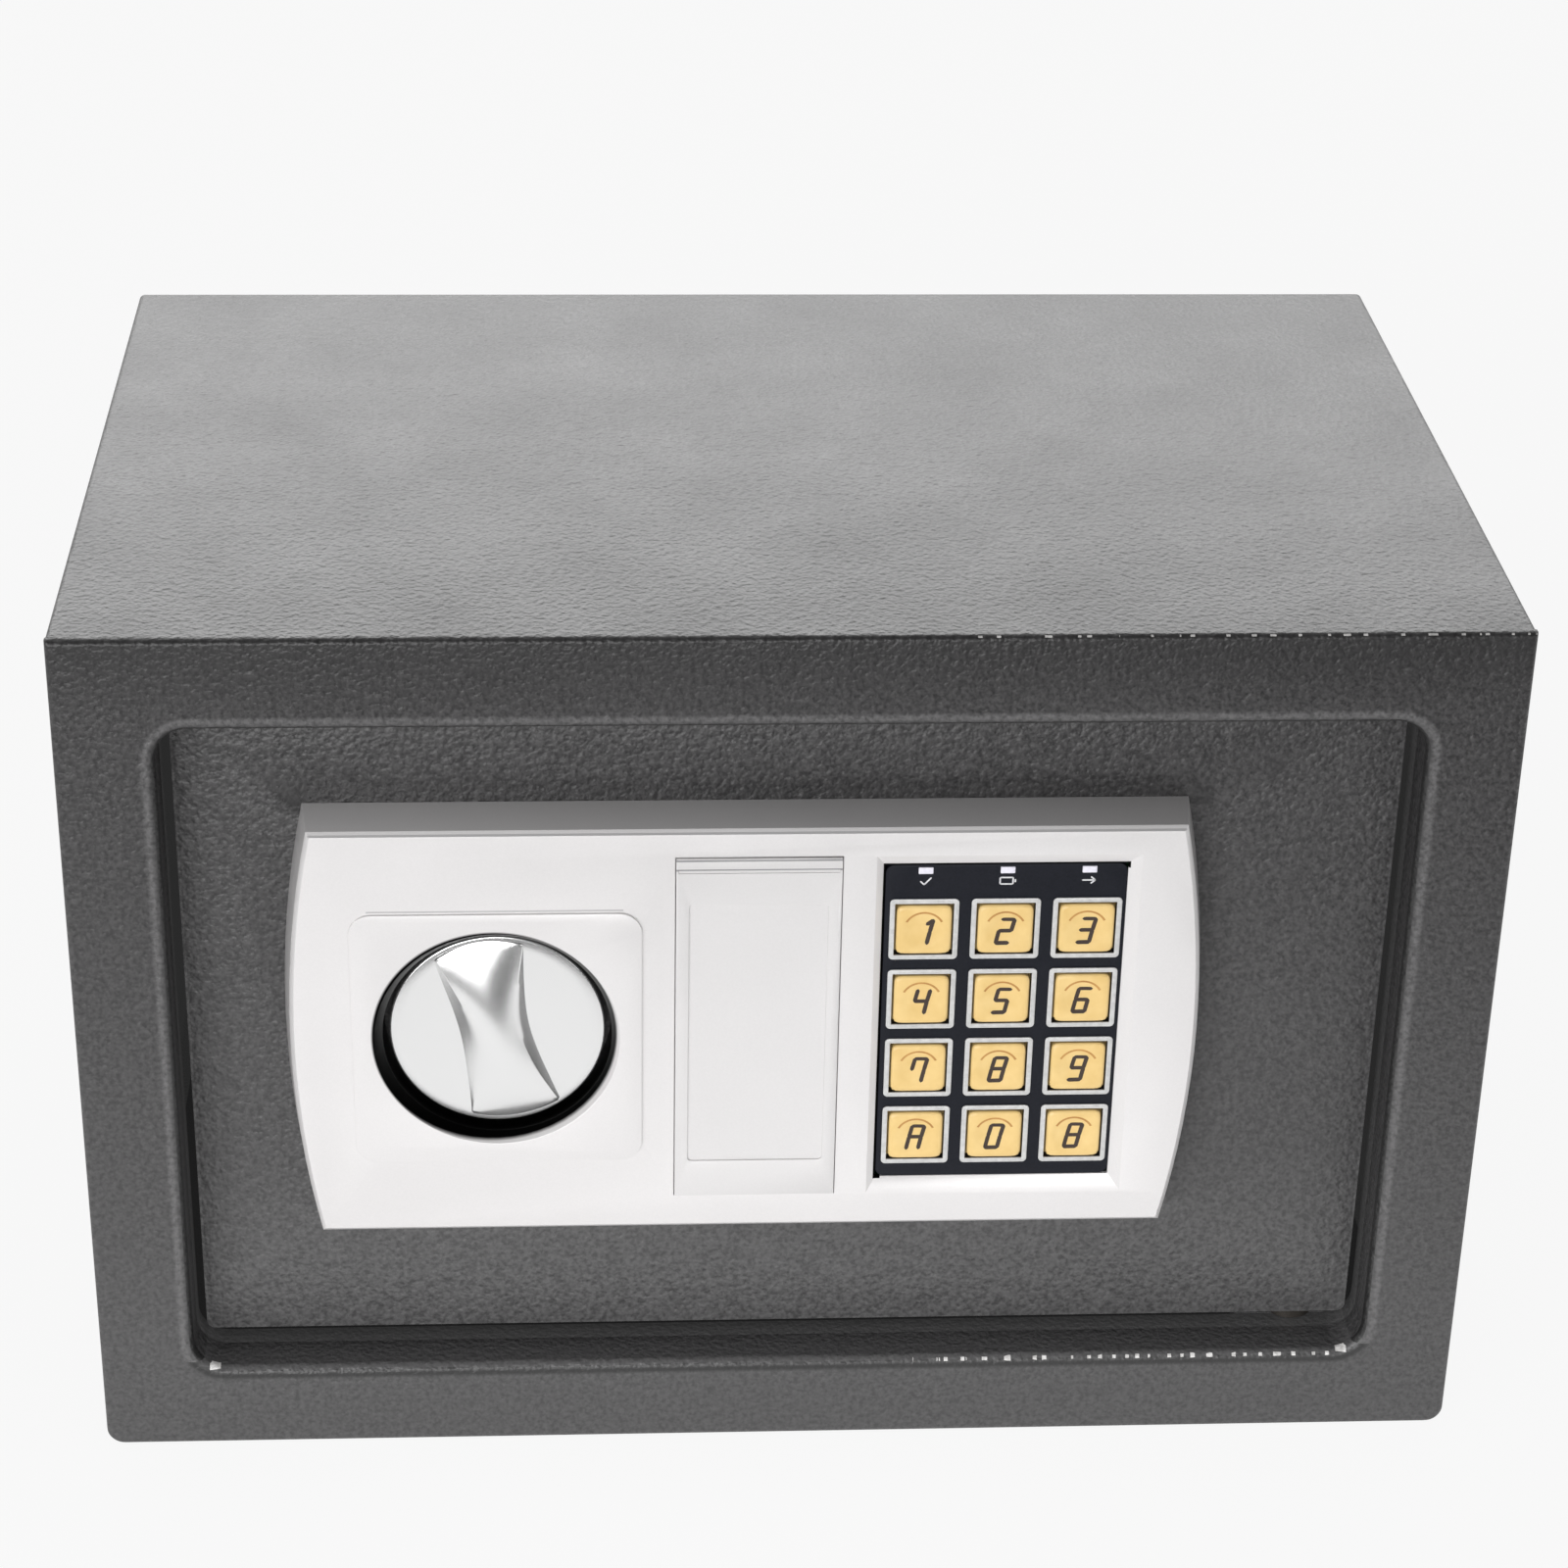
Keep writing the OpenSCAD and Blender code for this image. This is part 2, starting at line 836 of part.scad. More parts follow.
module knob_crank() {
    color("silver")
        difference() {
            union() {
                slab_y(crank_front, shaft_back)
                    translate([knob_x, knob_z])
                        rotate(45) {
                            circle(d = shaft_d + 6);
                            translate([crank_r, 0])
                                circle(d = crank_pin_d + 4);
                            translate([0, -crank_web / 2])
                                square([crank_r, crank_web]);
                        }
                rod_y(crank_rest_x, crank_rest_z, crank_pin_d, carriage_y - crank_gap,
                    crank_front + 1);
            }
            rod_y(knob_x, knob_z, shaft_d, crank_front - 1, shaft_back + 1);
        }
}

// Bolts

// an oblong hole through the carriage, from one centre to the other
module carriage_slot(x0, z0, x1, z1, d) {
    for (end = [[x0, z0], [x1, z1]])
        rod_y(end[0], end[1], d, carriage_y - 1, carriage_y + carriage_t + 1);
    if (x0 == x1)
        block([x0 - d / 2, carriage_y - 1, z0], [x0 + d / 2, carriage_y + carriage_t + 1, z1]);
    else
        block([x0, carriage_y - 1, z0 - d / 2], [x1, carriage_y + carriage_t + 1, z0 + d / 2]);
}

module bolt_carriage() {
    back = carriage_y + carriage_t;
    left = bolt_root;
    color("lightsteelblue")
        difference() {
            union() {
                block([left, carriage_y, mid_z - plate_half],
                    [plate_right, back, mid_z + plate_half]);
                block([plate_right - 1, carriage_y, tail_low], [tooth_right, back, tail_top]);
                block([tooth_left, carriage_y, tail_low - tooth_h],
                    [tooth_right, back, tail_low + 1]);
                block([left, carriage_y - carriage_lip, mid_z - flange_half],
                    [left + carriage_t, back + carriage_flange, mid_z + flange_half]);
            }
            for (z = [-1, 1])
                rod_x(bolt_y, mid_z + z * bolt_pitch / 2, spigot_d, left - 1,
                    left + carriage_t + spigot_long + 1);
            carriage_slot(knob_x, knob_z, knob_x + bolt_stroke, knob_z, shaft_d + 2 * loose);
            carriage_slot(crank_rest_x, crank_rest_z - loose, crank_rest_x,
                knob_z + crank_r + loose, crank_slot_w);
            for (z = guide_z)
                carriage_slot(guide_x, z, guide_x + bolt_stroke, z, guide_pin_d + loose);
        }
}

module locking_bolts() {
    color("silver")
        for (z = [-1, 1]) {
            translate([bolt_tip, bolt_y, mid_z + z * bolt_pitch / 2])
                rotate([0, 90, 0])
                    rotate_extrude()
                        polygon([[0, 0], [bolt_d / 2 - bolt_chamfer, 0],
                            [bolt_d / 2, bolt_chamfer], [bolt_d / 2, bolt_root - bolt_tip],
                            [0, bolt_root - bolt_tip]]);
            rod_x(bolt_y, mid_z + z * bolt_pitch / 2, spigot_d, bolt_root - 0.5,
                bolt_root + spigot_long);
        }
}

module bolt_guide() {
    color("gray")
        difference() {
            union() {
                block([guide_wall_x, door_back, mid_z - guide_wall_half],
                    [guide_wall_x + guide_wall_t, guide_wall_deep, mid_z + guide_wall_half]);
                block([guide_wall_x, door_back, mid_z - guide_foot_half],
                    [guide_wall_x + guide_foot_w, door_back + guide_foot_t,
                        mid_z + guide_foot_half]);
            }
            for (z = [-1, 1])
                rod_x(bolt_y, mid_z + z * bolt_pitch / 2, bolt_d + 2 * run, guide_wall_x - 1,
                    guide_wall_x + guide_wall_t + 1);
        }
}

module guide_pins() {
    head_y = bolt_y + loose;
    color("silver")
        for (z = guide_z) {
            rod_y(guide_x, z, guide_pin_d, door_back, head_y + 0.1);
            rod_y(guide_x, z, guide_head_d, head_y, head_y + guide_head_t);
        }
}

// Solenoid

module solenoid_frame() {
    left = solenoid_x - solenoid_w / 2;
    right = solenoid_x + solenoid_w / 2;
    color("lightsteelblue")
        difference() {
            union() {
                block([left, door_back, solenoid_low], [right, door_back + bracket_t, solenoid_high]);
                block([left, door_back, solenoid_low],
                    [right, coil_back, solenoid_low + bracket_t]);
                block([left, door_back, solenoid_high - bracket_t],
                    [right, coil_back, solenoid_high]);
            }
            translate([solenoid_x, solenoid_y, solenoid_high - bracket_t - 1])
                cylinder(d = plunger_d + plunger_play, h = bracket_t + 2);
        }
}

module solenoid_coil() {
    color("sienna")
        translate([solenoid_x, solenoid_y, solenoid_low + bracket_t])
            difference() {
                cylinder(d = coil_d, h = solenoid_h - 2 * bracket_t);
                translate([0, 0, coil_floor])
                    cylinder(d = plunger_d + plunger_play, h = solenoid_h);
            }
}

module solenoid_plunger() {
    color("silver")
        translate([solenoid_x, solenoid_y, 0]) {
            translate([0, 0, plunger_top - plunger_long])
                cylinder(d = plunger_d, h = plunger_long);
            translate([0, 0, plunger_top - plunger_collar_drop - plunger_collar_t])
                cylinder(d = plunger_collar_d, h = plunger_collar_t);
        }
}

// Emergency lock

module lock_cover() {
    front = panel_front - cover_proud;
    seat = panel_front + cover_seat;
    color("whitesmoke") {
        difference() {
            slab_y(front, seat)
                translate([lock_x, cover_z])
                    square([cover_w, cover_h], center = true);
            slab_y(front - 1, front + cover_field_deep)
                translate([lock_x, cover_z - cover_field_drop])
                    round_rect(cover_field_w, cover_field_h, 1);
            slab_y(front - 1, front + cover_groove_deep)
                translate([lock_x, cover_z + cover_h / 2 - cover_groove_drop])
                    square([cover_w - 1, cover_groove_h], center = true);
        }
        for (z = [-1, 1])
            slab_y(seat, seat + cover_hook_long)
                translate([lock_x, cover_z + z * (window_h / 2 - loose - cover_hook_t / 2)])
                    square([cover_hook_w, cover_hook_t], center = true);
    }
}

module emergency_lock_housing() {
    color("silver")
        difference() {
            union() {
                rod_y(lock_x, lock_z, lock_head_d, door_front - lock_head_t, door_front);
                rod_y(lock_x, lock_z, lock_d, door_front, lock_back);
            }
            rod_y(lock_x, lock_z, plug_d + 2 * run, front_y, lock_back + 1);
        }
}

module lock_nut() {
    color("silver")
        difference() {
            translate([lock_x, door_back + nut_t, lock_z])
                rotate([90, 0, 0])
                    cylinder(d = nut_w, h = nut_t, $fn = 6);
            rod_y(lock_x, lock_z, lock_d, door_back - 1, door_back + nut_t + 1);
        }
}

module emergency_lock_plug() {
    front = door_front - lock_head_t - plug_proud;
    color("goldenrod")
        difference() {
            rod_y(lock_x, lock_z, plug_d, front, lock_back + plug_proud + cam_t);
            block([lock_x - key_slot_w / 2, front - 1, lock_z - key_slot_h / 2],
                [lock_x + key_slot_w / 2, front + key_slot_deep, lock_z + key_slot_h / 2]);
        }
}

module emergency_lock_cam() {
    front = lock_back + plug_proud;
    color("lightsteelblue")
        difference() {
            union() {
                rod_y(lock_x, lock_z, cam_d, front, front + cam_t);
                block([lock_x - cam_w / 2, front, lock_z],
                    [lock_x + cam_w / 2, front + cam_t, lock_z + cam_long]);
            }
            rod_y(lock_x, lock_z, plug_d, front - 1, front + cam_t + 1);
        }
}

// Keypad

// where the key in the given column and row sits, counted from the lower left
function key_x(column) = key_left_x + column * key_pitch_x;
function key_z(row) = key_low_z + row * key_pitch_z;

module keypad_plate() {
    rim_w = pad_w - pad_gap - 0.1;
    rim_h = pad_h - pad_gap - 0.1;
    color("black")
        difference() {
            union() {
                slab_y(pad_front, pad_front + pad_t)
                    translate([pad_right, pad_z])
                        round_rect(pad_w - pad_gap, pad_h - pad_gap, pad_r);
                difference() {
                    slab_y(pad_front + pad_t - 0.1, board_front)
                        translate([pad_right, pad_z])
                            square([rim_w, rim_h], center = true);
                    slab_y(pad_front, board_front + 1)
                        translate([pad_right, pad_z])
                            square([rim_w - 2 * pad_rim, rim_h - 2 * pad_rim], center = true);
                }
            }
            for (column = [0 : 2], row = [0 : 3])
                slab_y(pad_front - 1, pad_front + pad_t + 1)
                    translate([key_x(column), key_z(row)])
                        square(key_w + 2 * key_gap, center = true);
            for (column = [0 : 2])
                slab_y(pad_front - 1, board_front + 1)
                    translate([key_x(column), light_z])
                        square([light_w, light_h], center = true);
        }
}

module key_frames() {
    color("silver")
        for (column = [0 : 2], row = [0 : 3])
            slab_y(pad_front - frame_proud, pad_front)
                translate([key_x(column), key_z(row)])
                    difference() {
                        round_rect(key_frame_w, key_frame_w, frame_r);
                        square(key_w + 2 * key_gap, center = true);
                    }
}

module key(column, row) {
    color("orange") {
        slab_y(pad_front - key_proud, key_flange_y)
            translate([key_x(column), key_z(row)])
                round_rect(key_w, key_w, key_r);
        slab_y(key_flange_y, key_flange_y + key_flange_t)
            translate([key_x(column), key_z(row)])
                square(key_w + 2 * key_flange_edge, center = true);
    }
}

module key_7() { key(0, 1); }
module key_8() { key(1, 1); }
module key_9() { key(2, 1); }
module key_4() { key(0, 2); }
module key_5() { key(1, 2); }
module key_6() { key(2, 2); }
module key_1() { key(0, 3); }
module key_2() { key(1, 3); }
module key_3() { key(2, 3); }
module key_a() { key(0, 0); }
module key_0() { key(1, 0); }
module key_b() { key(2, 0); }

module indicator_lights() {
    color("white")
        for (column = [0 : 2])
            slab_y(pad_front - light_proud, board_front)
                translate([key_x(column), light_z])
                    square([light_w, light_h], center = true);
}

module keypad_board() {
    color("darkgreen")
        slab_y(board_front, board_front + board_t)
            translate([pad_right, pad_z])
                square([pad_board_w, pad_board_h], center = true);
}

module contact_domes() {
    color("silver")
        for (column = [0 : 2], row = [0 : 3])
            rod_y(key_x(column), key_z(row), dome_d, board_front - dome_t, board_front);
}

// Electronics and batteries

module control_board() {
    color("darkgreen")
        slab_y(control_front, control_front + board_t)
            translate([cell_x, cell_z])
                square([control_w, control_h], center = true);
}

module board_spacers() {
    color("white")
        for (x = [-1, 1], z = [-1, 1])
            rod_y(cell_x + x * (control_w / 2 - spacer_inset),
                cell_z + z * (control_h / 2 - spacer_inset), spacer_d, door_back, control_front);
}

module battery_holder() {
    color("black")
        difference() {
            slab_y(holder_back - holder_deep, holder_back)
                translate([cell_x, cell_z])
                    square([holder_w, holder_h], center = true);
            slab_y(holder_back - holder_deep + holder_t, holder_back + 1)
                translate([cell_x, cell_z])
                    square([holder_w - 2 * holder_t, holder_h - 2 * holder_t], center = true);
        }
}

module batteries() {
    y = holder_back - holder_deep + holder_t + cell_d / 2;
    color("steelblue")
        for (i = [0 : 3])
            translate([cell_x, y, cell_z + (i - 1.5) * cell_pitch])
                rotate([0, i % 2 == 0 ? 90 : -90, 0]) {
                    translate([0, 0, -cell_body_long / 2])
                        cylinder(d = cell_d, h = cell_body_long);
                    cylinder(d = cell_cap_d, h = cell_body_long / 2 + cell_cap_long);
                }
}

module battery_contacts() {
    y = holder_back - holder_deep + holder_t + cell_d / 2;
    inner = holder_w / 2 - holder_t;
    color("silver")
        for (i = [0 : 3], side = [-1, 1])
            translate([cell_x + side * inner, y, cell_z + (i - 1.5) * cell_pitch])
                rotate([0, -90 * side, 0]) {
                    cylinder(d = contact_d, h = contact_t);
                    cylinder(d = contact_tip_d, h = contact_tip_long);
                }
}

module inner_cover() {
    color("gray")
        difference() {
            block([tray_left, door_back, tray_low], [tray_right, tray_back, tray_top]);
            block([tray_left + tray_t, door_back - 1, tray_low + tray_t],
                [tray_right - tray_t, tray_inner, tray_top - tray_t]);
            for (z = [-1, 1])
                rod_x(bolt_y, mid_z + z * bolt_pitch / 2, bolt_d + 1, tray_left - 1,
                    tray_left + tray_t + 1);
            slab_y(tray_inner - 1, tray_back + 1)
                translate([cell_x, cell_z])
                    square([window_in_w, window_in_h], center = true);
            rod_y(reset_x, reset_z, reset_d + 2 * loose, tray_inner - 1, tray_back + 1);
            at_posts()
                rod_y(0, 0, screw_d + loose, tray_inner - 1, tray_back + 1);
        }
}

module cover_posts() {
    color("silver")
        difference() {
            at_posts()
                rod_y(0, 0, post_d, door_back, tray_inner);
            at_posts()
                rod_y(0, 0, screw_d, tray_inner - post_thread, tray_inner + 1);
        }
}

module cover_screws() {
    color("silver")
        at_posts() {
            rod_y(0, 0, screw_head_d, tray_back, tray_back + screw_head_t);
            rod_y(0, 0, screw_d, tray_back - screw_long, tray_back + 0.5);
        }
}

module battery_cover() {
    color("dimgray") {
        slab_y(tray_back + lid_gap, tray_back + lid_gap + lid_t)
            translate([cell_x, cell_z])
                round_rect(holder_w, holder_h, lid_r);
        slab_y(tray_inner + lid_gap, tray_back + lid_gap + 0.1)
            translate([cell_x, cell_z])
                square([window_in_w - 1, window_in_h - 1], center = true);
    }
}

module reset_button() {
    color("red") {
        rod_y(reset_x, reset_z, reset_d, tray_inner - 2, tray_back + reset_travel + 0.5);
        rod_y(reset_x, reset_z, reset_flange_d, tray_inner - 2.5, tray_inner - 0.3);
    }
}

body_wrap();
top_plate();
back_plate();
front_frame();
hinge_lugs();
floor_mat();
door_plate();
hinge_blocks();
hinge_pins();
hinge_washers();
fascia();
fascia_screws();
knob();
knob_shaft();
shaft_bushing();
shaft_clip();
knob_crank();
bolt_carriage();
locking_bolts();
bolt_guide();
guide_pins();
solenoid_frame();
solenoid_coil();
solenoid_plunger();
lock_cover();
emergency_lock_housing();
lock_nut();
emergency_lock_plug();
emergency_lock_cam();
keypad_plate();
key_frames();
key_1();
key_2();
key_3();
key_4();
key_5();
key_6();
key_7();
key_8();
key_9();
key_a();
key_0();
key_b();
indicator_lights();
keypad_board();
contact_domes();
control_board();
board_spacers();
battery_holder();
battery_contacts();
batteries();
battery_cover();
reset_button();
inner_cover();
cover_posts();
cover_screws();
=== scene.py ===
# %% [markdown]
# # A small electronic safe
# The safe is a welded steel box with a door set back in a rolled doorway. A silver plastic panel
# on the door carries a turn knob, a pull-off middle cover and a keypad with amber keys.
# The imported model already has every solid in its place, so this lesson keeps those solids where
# they are right, rounds the edges that catch the light, remakes the pieces that need finer
# shapes, and gives each of them a finish.

import math

import bmesh
import bpy
from mathutils import Matrix, Vector


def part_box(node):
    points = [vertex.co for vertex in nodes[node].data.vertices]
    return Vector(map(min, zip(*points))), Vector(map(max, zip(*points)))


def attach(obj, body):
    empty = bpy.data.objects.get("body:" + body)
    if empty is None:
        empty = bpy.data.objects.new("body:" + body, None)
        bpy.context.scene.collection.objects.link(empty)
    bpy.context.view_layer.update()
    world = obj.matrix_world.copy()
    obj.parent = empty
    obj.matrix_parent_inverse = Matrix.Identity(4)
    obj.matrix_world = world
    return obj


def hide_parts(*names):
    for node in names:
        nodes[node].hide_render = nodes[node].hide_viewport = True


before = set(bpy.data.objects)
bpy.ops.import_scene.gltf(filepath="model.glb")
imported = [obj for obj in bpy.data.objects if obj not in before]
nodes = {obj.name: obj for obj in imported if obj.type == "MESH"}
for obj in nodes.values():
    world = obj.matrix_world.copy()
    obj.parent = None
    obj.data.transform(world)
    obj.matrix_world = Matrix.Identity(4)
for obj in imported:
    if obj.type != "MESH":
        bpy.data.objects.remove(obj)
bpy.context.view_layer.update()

# %% [markdown]
# ## The camera
# The photograph looks at the front from above, from a point a little left of the middle. Its
# place and lens were worked out from the six corners of the box that it shows. A camera needs its
# place, its turn and its lens only, and the depth of field stays off, so that everything is
# sharp.

# %% Place the camera
photo_side = 1600
focal_pixels = 3843.4
camera_place = (-0.0458, -0.8003, 0.5429)
camera_turn = (62.051, -1.081, -2.962)
camera_data = bpy.data.cameras.new("photo_camera")
camera_data.sensor_width = 36
camera_data.lens = focal_pixels * camera_data.sensor_width / photo_side
camera_data.clip_start = 0.05
camera_data.clip_end = 50
camera = bpy.data.objects.new("photo_camera", camera_data)
camera.location = camera_place
camera.rotation_euler = [math.radians(degrees) for degrees in camera_turn]
bpy.context.scene.collection.objects.link(camera)
bpy.context.scene.camera = camera
print("lens:", round(camera_data.lens, 2), "mm")

# %% [markdown]
# ## Writing materials as sums
# A finish is a picture made of numbers: how rough the paint is here, how light it is there.
# Building it from nodes by hand is slow to read, so a small class wraps a node's socket and lets
# plain arithmetic add the Math nodes.

# %% Wrap a socket so that it does sums
class Wire:
    def __init__(self, tree, socket):
        self.tree = tree
        self.socket = socket

    def sum_with(self, operation, first, second):
        node = self.tree.nodes.new("ShaderNodeMath")
        node.operation = operation
        for port, value in zip(node.inputs, (first, second)):
            if isinstance(value, Wire):
                self.tree.links.new(value.socket, port)
            else:
                port.default_value = value
        return Wire(self.tree, node.outputs[0])

    def __add__(self, other):
        return self.sum_with("ADD", self, other)

    def __radd__(self, other):
        return self.sum_with("ADD", other, self)

    def __sub__(self, other):
        return self.sum_with("SUBTRACT", self, other)

    def __rsub__(self, other):
        return self.sum_with("SUBTRACT", other, self)

    def __mul__(self, other):
        return self.sum_with("MULTIPLY", self, other)

    def __rmul__(self, other):
        return self.sum_with("MULTIPLY", other, self)

    def __pow__(self, other):
        return self.sum_with("POWER", self, other)

    def __abs__(self):
        return self.sum_with("ABSOLUTE", self, 0)

    def above(self, other):
        return self.sum_with("MAXIMUM", self, other)

    def __gt__(self, other):
        return self.sum_with("GREATER_THAN", self, other)

    def __lt__(self, other):
        return self.sum_with("LESS_THAN", self, other)


print("sums ready: + - * ** abs > <")

# %% [markdown]
# Every other node comes from one method that takes its type, its settings and what its sockets
# hold. The few helpers after it name what the finishes below share: noise, cells, a blend of two
# colours, a step from 0 to 1 between two values, and the kinds of ray that ask for a colour.

# %% Make nodes from one method
class Maker:
    def __init__(self, tree):
        self.tree = tree

    def put(self, port, value):
        if isinstance(value, Wire):
            self.tree.links.new(value.socket, port)
        else:
            port.default_value = value

    def node(self, kind, settings, ports, output=0):
        node = self.tree.nodes.new(kind)
        for name, value in settings.items():
            setattr(node, name, value)
        for port, value in ports.items():
            self.put(node.inputs[port], value)
        return Wire(self.tree, node.outputs[output])

    def outputs(self, wire, *names):
        return [Wire(self.tree, wire.socket.node.outputs[name]) for name in names]

    def split(self, vector):
        parts = self.node("ShaderNodeSeparateXYZ", {}, {"Vector": vector})
        return self.outputs(parts, "X", "Y", "Z")

    def step(self, value, low, high):
        ports = {"Value": value, "From Min": low, "From Max": high}
        return self.node("ShaderNodeMapRange", {"clamp": True}, ports)

    def place(self):
        return self.node("ShaderNodeTexCoord", {}, {}, "Object")

    def noise(self, size, detail=3.0, roughness=0.5, stretch=(1, 1, 1)):
        place = self.node("ShaderNodeMapping", {}, {"Vector": self.place(), "Scale": stretch})
        ports = {"Vector": place, "Scale": 1 / size, "Detail": detail, "Roughness": roughness}
        return self.node("ShaderNodeTexNoise", {}, ports)

    def cells(self, size):
        ports = {"Vector": self.place(), "Scale": 1 / size}
        return self.node("ShaderNodeTexVoronoi", {"feature": "SMOOTH_F1"}, ports)

    def blend(self, amount, first, second):
        first = first if isinstance(first, Wire) else (*first, 1)
        second = second if isinstance(second, Wire) else (*second, 1)
        ports = {0: amount, 6: first, 7: second}
        return self.node("ShaderNodeMix", {"data_type": "RGBA"}, ports, 2)

    def rays(self):
        path = self.node("ShaderNodeLightPath", {}, {})
        return self.outputs(path, "Is Camera Ray", "Is Glossy Ray", "Is Transmission Ray")


print("node maker ready")

# %% [markdown]
# A finish is a maker that works on one material's Principled shader.

# %% Keep a finish's shader at hand
class Finish(Maker):
    def __init__(self, name, colour, roughness, metallic=0.0, coat=0.0):
        self.material = bpy.data.materials.new(name)
        self.material.use_nodes = True
        super().__init__(self.material.node_tree)
        self.shader = self.tree.nodes["Principled BSDF"]
        self.set("Base Color", (*colour, 1))
        self.set("Roughness", roughness)
        self.set("Metallic", metallic)
        self.set("Coat Weight", coat)

    def set(self, port, value):
        self.put(self.shader.inputs[port], value)

    def bump(self, height, depth, strength=1.0):
        ports = {"Height": height, "Distance": depth, "Strength": strength}
        self.set("Normal", self.node("ShaderNodeBump", {}, ports))


print("finishes ready")

# %% [markdown]
# ## The light
# A large soft light stands low in front and to the left, so that the door is lit evenly, and a
# small strip near the table lifts the sill. A third hangs far behind: it slides along the painted
# top and turns it pale, while the front stays dark. A weak one on the right keeps that side from
# going black.

# %% Hang the lights
def soft_light(name, place, target, width, height, watts, on_matt=True, on_gloss=True):
    data = bpy.data.lights.new(name, "AREA")
    data.shape = "RECTANGLE"
    data.size = width
    data.size_y = height
    data.energy = watts
    lamp = bpy.data.objects.new(name, data)
    lamp.location = place
    facing = Vector(target) - Vector(place)
    lamp.rotation_euler = facing.to_track_quat("-Z", "Y").to_euler()
    lamp.visible_camera = False
    lamp.visible_diffuse = on_matt
    lamp.visible_glossy = on_gloss
    bpy.context.scene.collection.objects.link(lamp)
    print(name, "at", place, watts, "W")


middle = (0, 0, 0.1)
sill_front = (0, -0.1, 0.04)
soft_light("light_front", (-0.8, -1.7, 0.36), middle, width=1.9, height=0.9, watts=25)
soft_light("light_low", (0, -0.62, 0.06), sill_front, width=0.6, height=0.08, watts=1.2,
           on_gloss=False)
soft_light("light_behind", (0.1, 1.7, 1.0), middle, width=3.0, height=1.2, watts=34,
           on_matt=False)
soft_light("light_right", (1.3, -1.4, 0.3), middle, width=0.8, height=0.5, watts=3)

# %% [markdown]
# The room is a white backdrop behind the safe and a dim studio in front of it, dimmer still on
# the right, with no light from below the table. The backdrop is pure white where the camera looks
# at it. Each pair of numbers gives where a change starts and ends, as a share of the way from the
# middle of the sky to its edge.

# %% Set the world
room_fill = 0.30
dim_side = 0.18
right_dimming = 0.6
horizon = (-0.05, 0.03)
front_to_back = (-0.35, 0.15)
middle_to_right = (-0.05, 0.45)
world = bpy.data.worlds.new("studio")
bpy.context.scene.world = world
world.use_nodes = True
sky = Maker(world.node_tree)
sky_place = sky.node("ShaderNodeTexCoord", {}, {}, "Generated")
sky_right, sky_back, sky_up = sky.split(sky_place)
above = sky.step(sky_up, *horizon)
backdrop = sky.step(sky_back, *front_to_back)
right_wall = sky.step(sky_right, *middle_to_right) * right_dimming
mirrored = above * (backdrop * (1 - dim_side) + dim_side) * (1 - right_wall)
seen, glossy, through = sky.rays()
shiny = glossy.above(through)
level = seen + (1 - seen) * (shiny * mirrored + (1 - shiny) * above * room_fill)
background = world.node_tree.nodes["Background"]
sky.put(background.inputs["Color"], (1, 1, 1, 1))
sky.put(background.inputs["Strength"], level)
bpy.context.scene.view_settings.view_transform = "Standard"
print("room fill:", room_fill)

# %% [markdown]
# ## Hammered grey paint
# The body and the door are sprayed with a dark grey paint that dries into small pebbles. Up close
# it is a skin of soft bumps about a millimetre across, paler on its ridges than in its hollows.
# Cell noise gives the pebbles, a finer noise breaks them up, and a wide one makes the tone drift
# slowly, as sprayed paint does. Lower down, painted light makes the paint paler.

# %% Mix the hammered paint
pebble_size = 0.0017
grain_size = 0.0013
ridge_size = 0.0009
drift_size = 0.03
relief_depth = 0.0004
hollow_grey = (0.007, 0.0064, 0.007)
ridge_grey = (0.049, 0.047, 0.048)
drift_grey = (0.028, 0.0268, 0.028)
painted_light_grey = (0.082, 0.081, 0.082)
paint = Finish("hammered_grey_paint", ridge_grey, 0.42)
paint.set("IOR", 1.6)
pebbles = paint.cells(pebble_size)
grain = paint.noise(grain_size, 1.0)
drift = paint.noise(drift_size, 4.0)
relief = grain * 0.8 + (1 - pebbles) * 0.2
ridges = paint.step(relief * 0.5 + paint.noise(ridge_size, 2.0) * 0.5, 0.40, 0.64)
tone = paint.blend(ridges, hollow_grey, ridge_grey)
tone = paint.blend(drift * 0.3, tone, drift_grey)
paint_right, paint_back, paint_up = paint.split(paint.place())
# Painted light: the paint grows paler towards the bottom.
painted_light_below = paint.step(paint_up, 0.2, 0.03) * (ridges * 0.3 + 0.35)
tone = paint.blend(painted_light_below, tone, painted_light_grey)
paint.set("Roughness", drift * 0.12 + 0.38)
paint.bump(relief, relief_depth)
print("pebbles", pebble_size, "m across, relief", relief_depth, "m deep")

# %% [markdown]
# ## The rolled doorway
# The steel round the doorway is rolled into a soft bend. To shade it, the paint has to know how
# far each point lies outside the doorway's rounded rectangle: how far it is past the straight
# part of each side, the two joined like the sides of a right triangle, less the corner's radius.

# %% Measure how far a point lies outside the doorway
border = 0.019
doorway_round = 0.009
body_low, body_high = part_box("front_frame")
body_middle = (body_low + body_high) / 2
body_half = (body_high - body_low) / 2
straight_side = body_half.x - border - doorway_round
straight_end = body_half.z - border - doorway_round
past_side = (abs(paint_right) - straight_side).above(0)
past_end = (abs(paint_up - body_middle.z) - straight_end).above(0)
outside = (past_side * past_side + past_end * past_end) ** 0.5 - doorway_round
print("doorway", round(2 * (straight_side + doorway_round), 4), "m wide")

# %% [markdown]
# Painted shade darkens the paint just under the top edge and above the panel. Painted light makes
# the low part of the door a little paler.

# %% Paint shade under the top edge and light on the low door
def near(value, centre, half):
    return abs(value - centre) < half


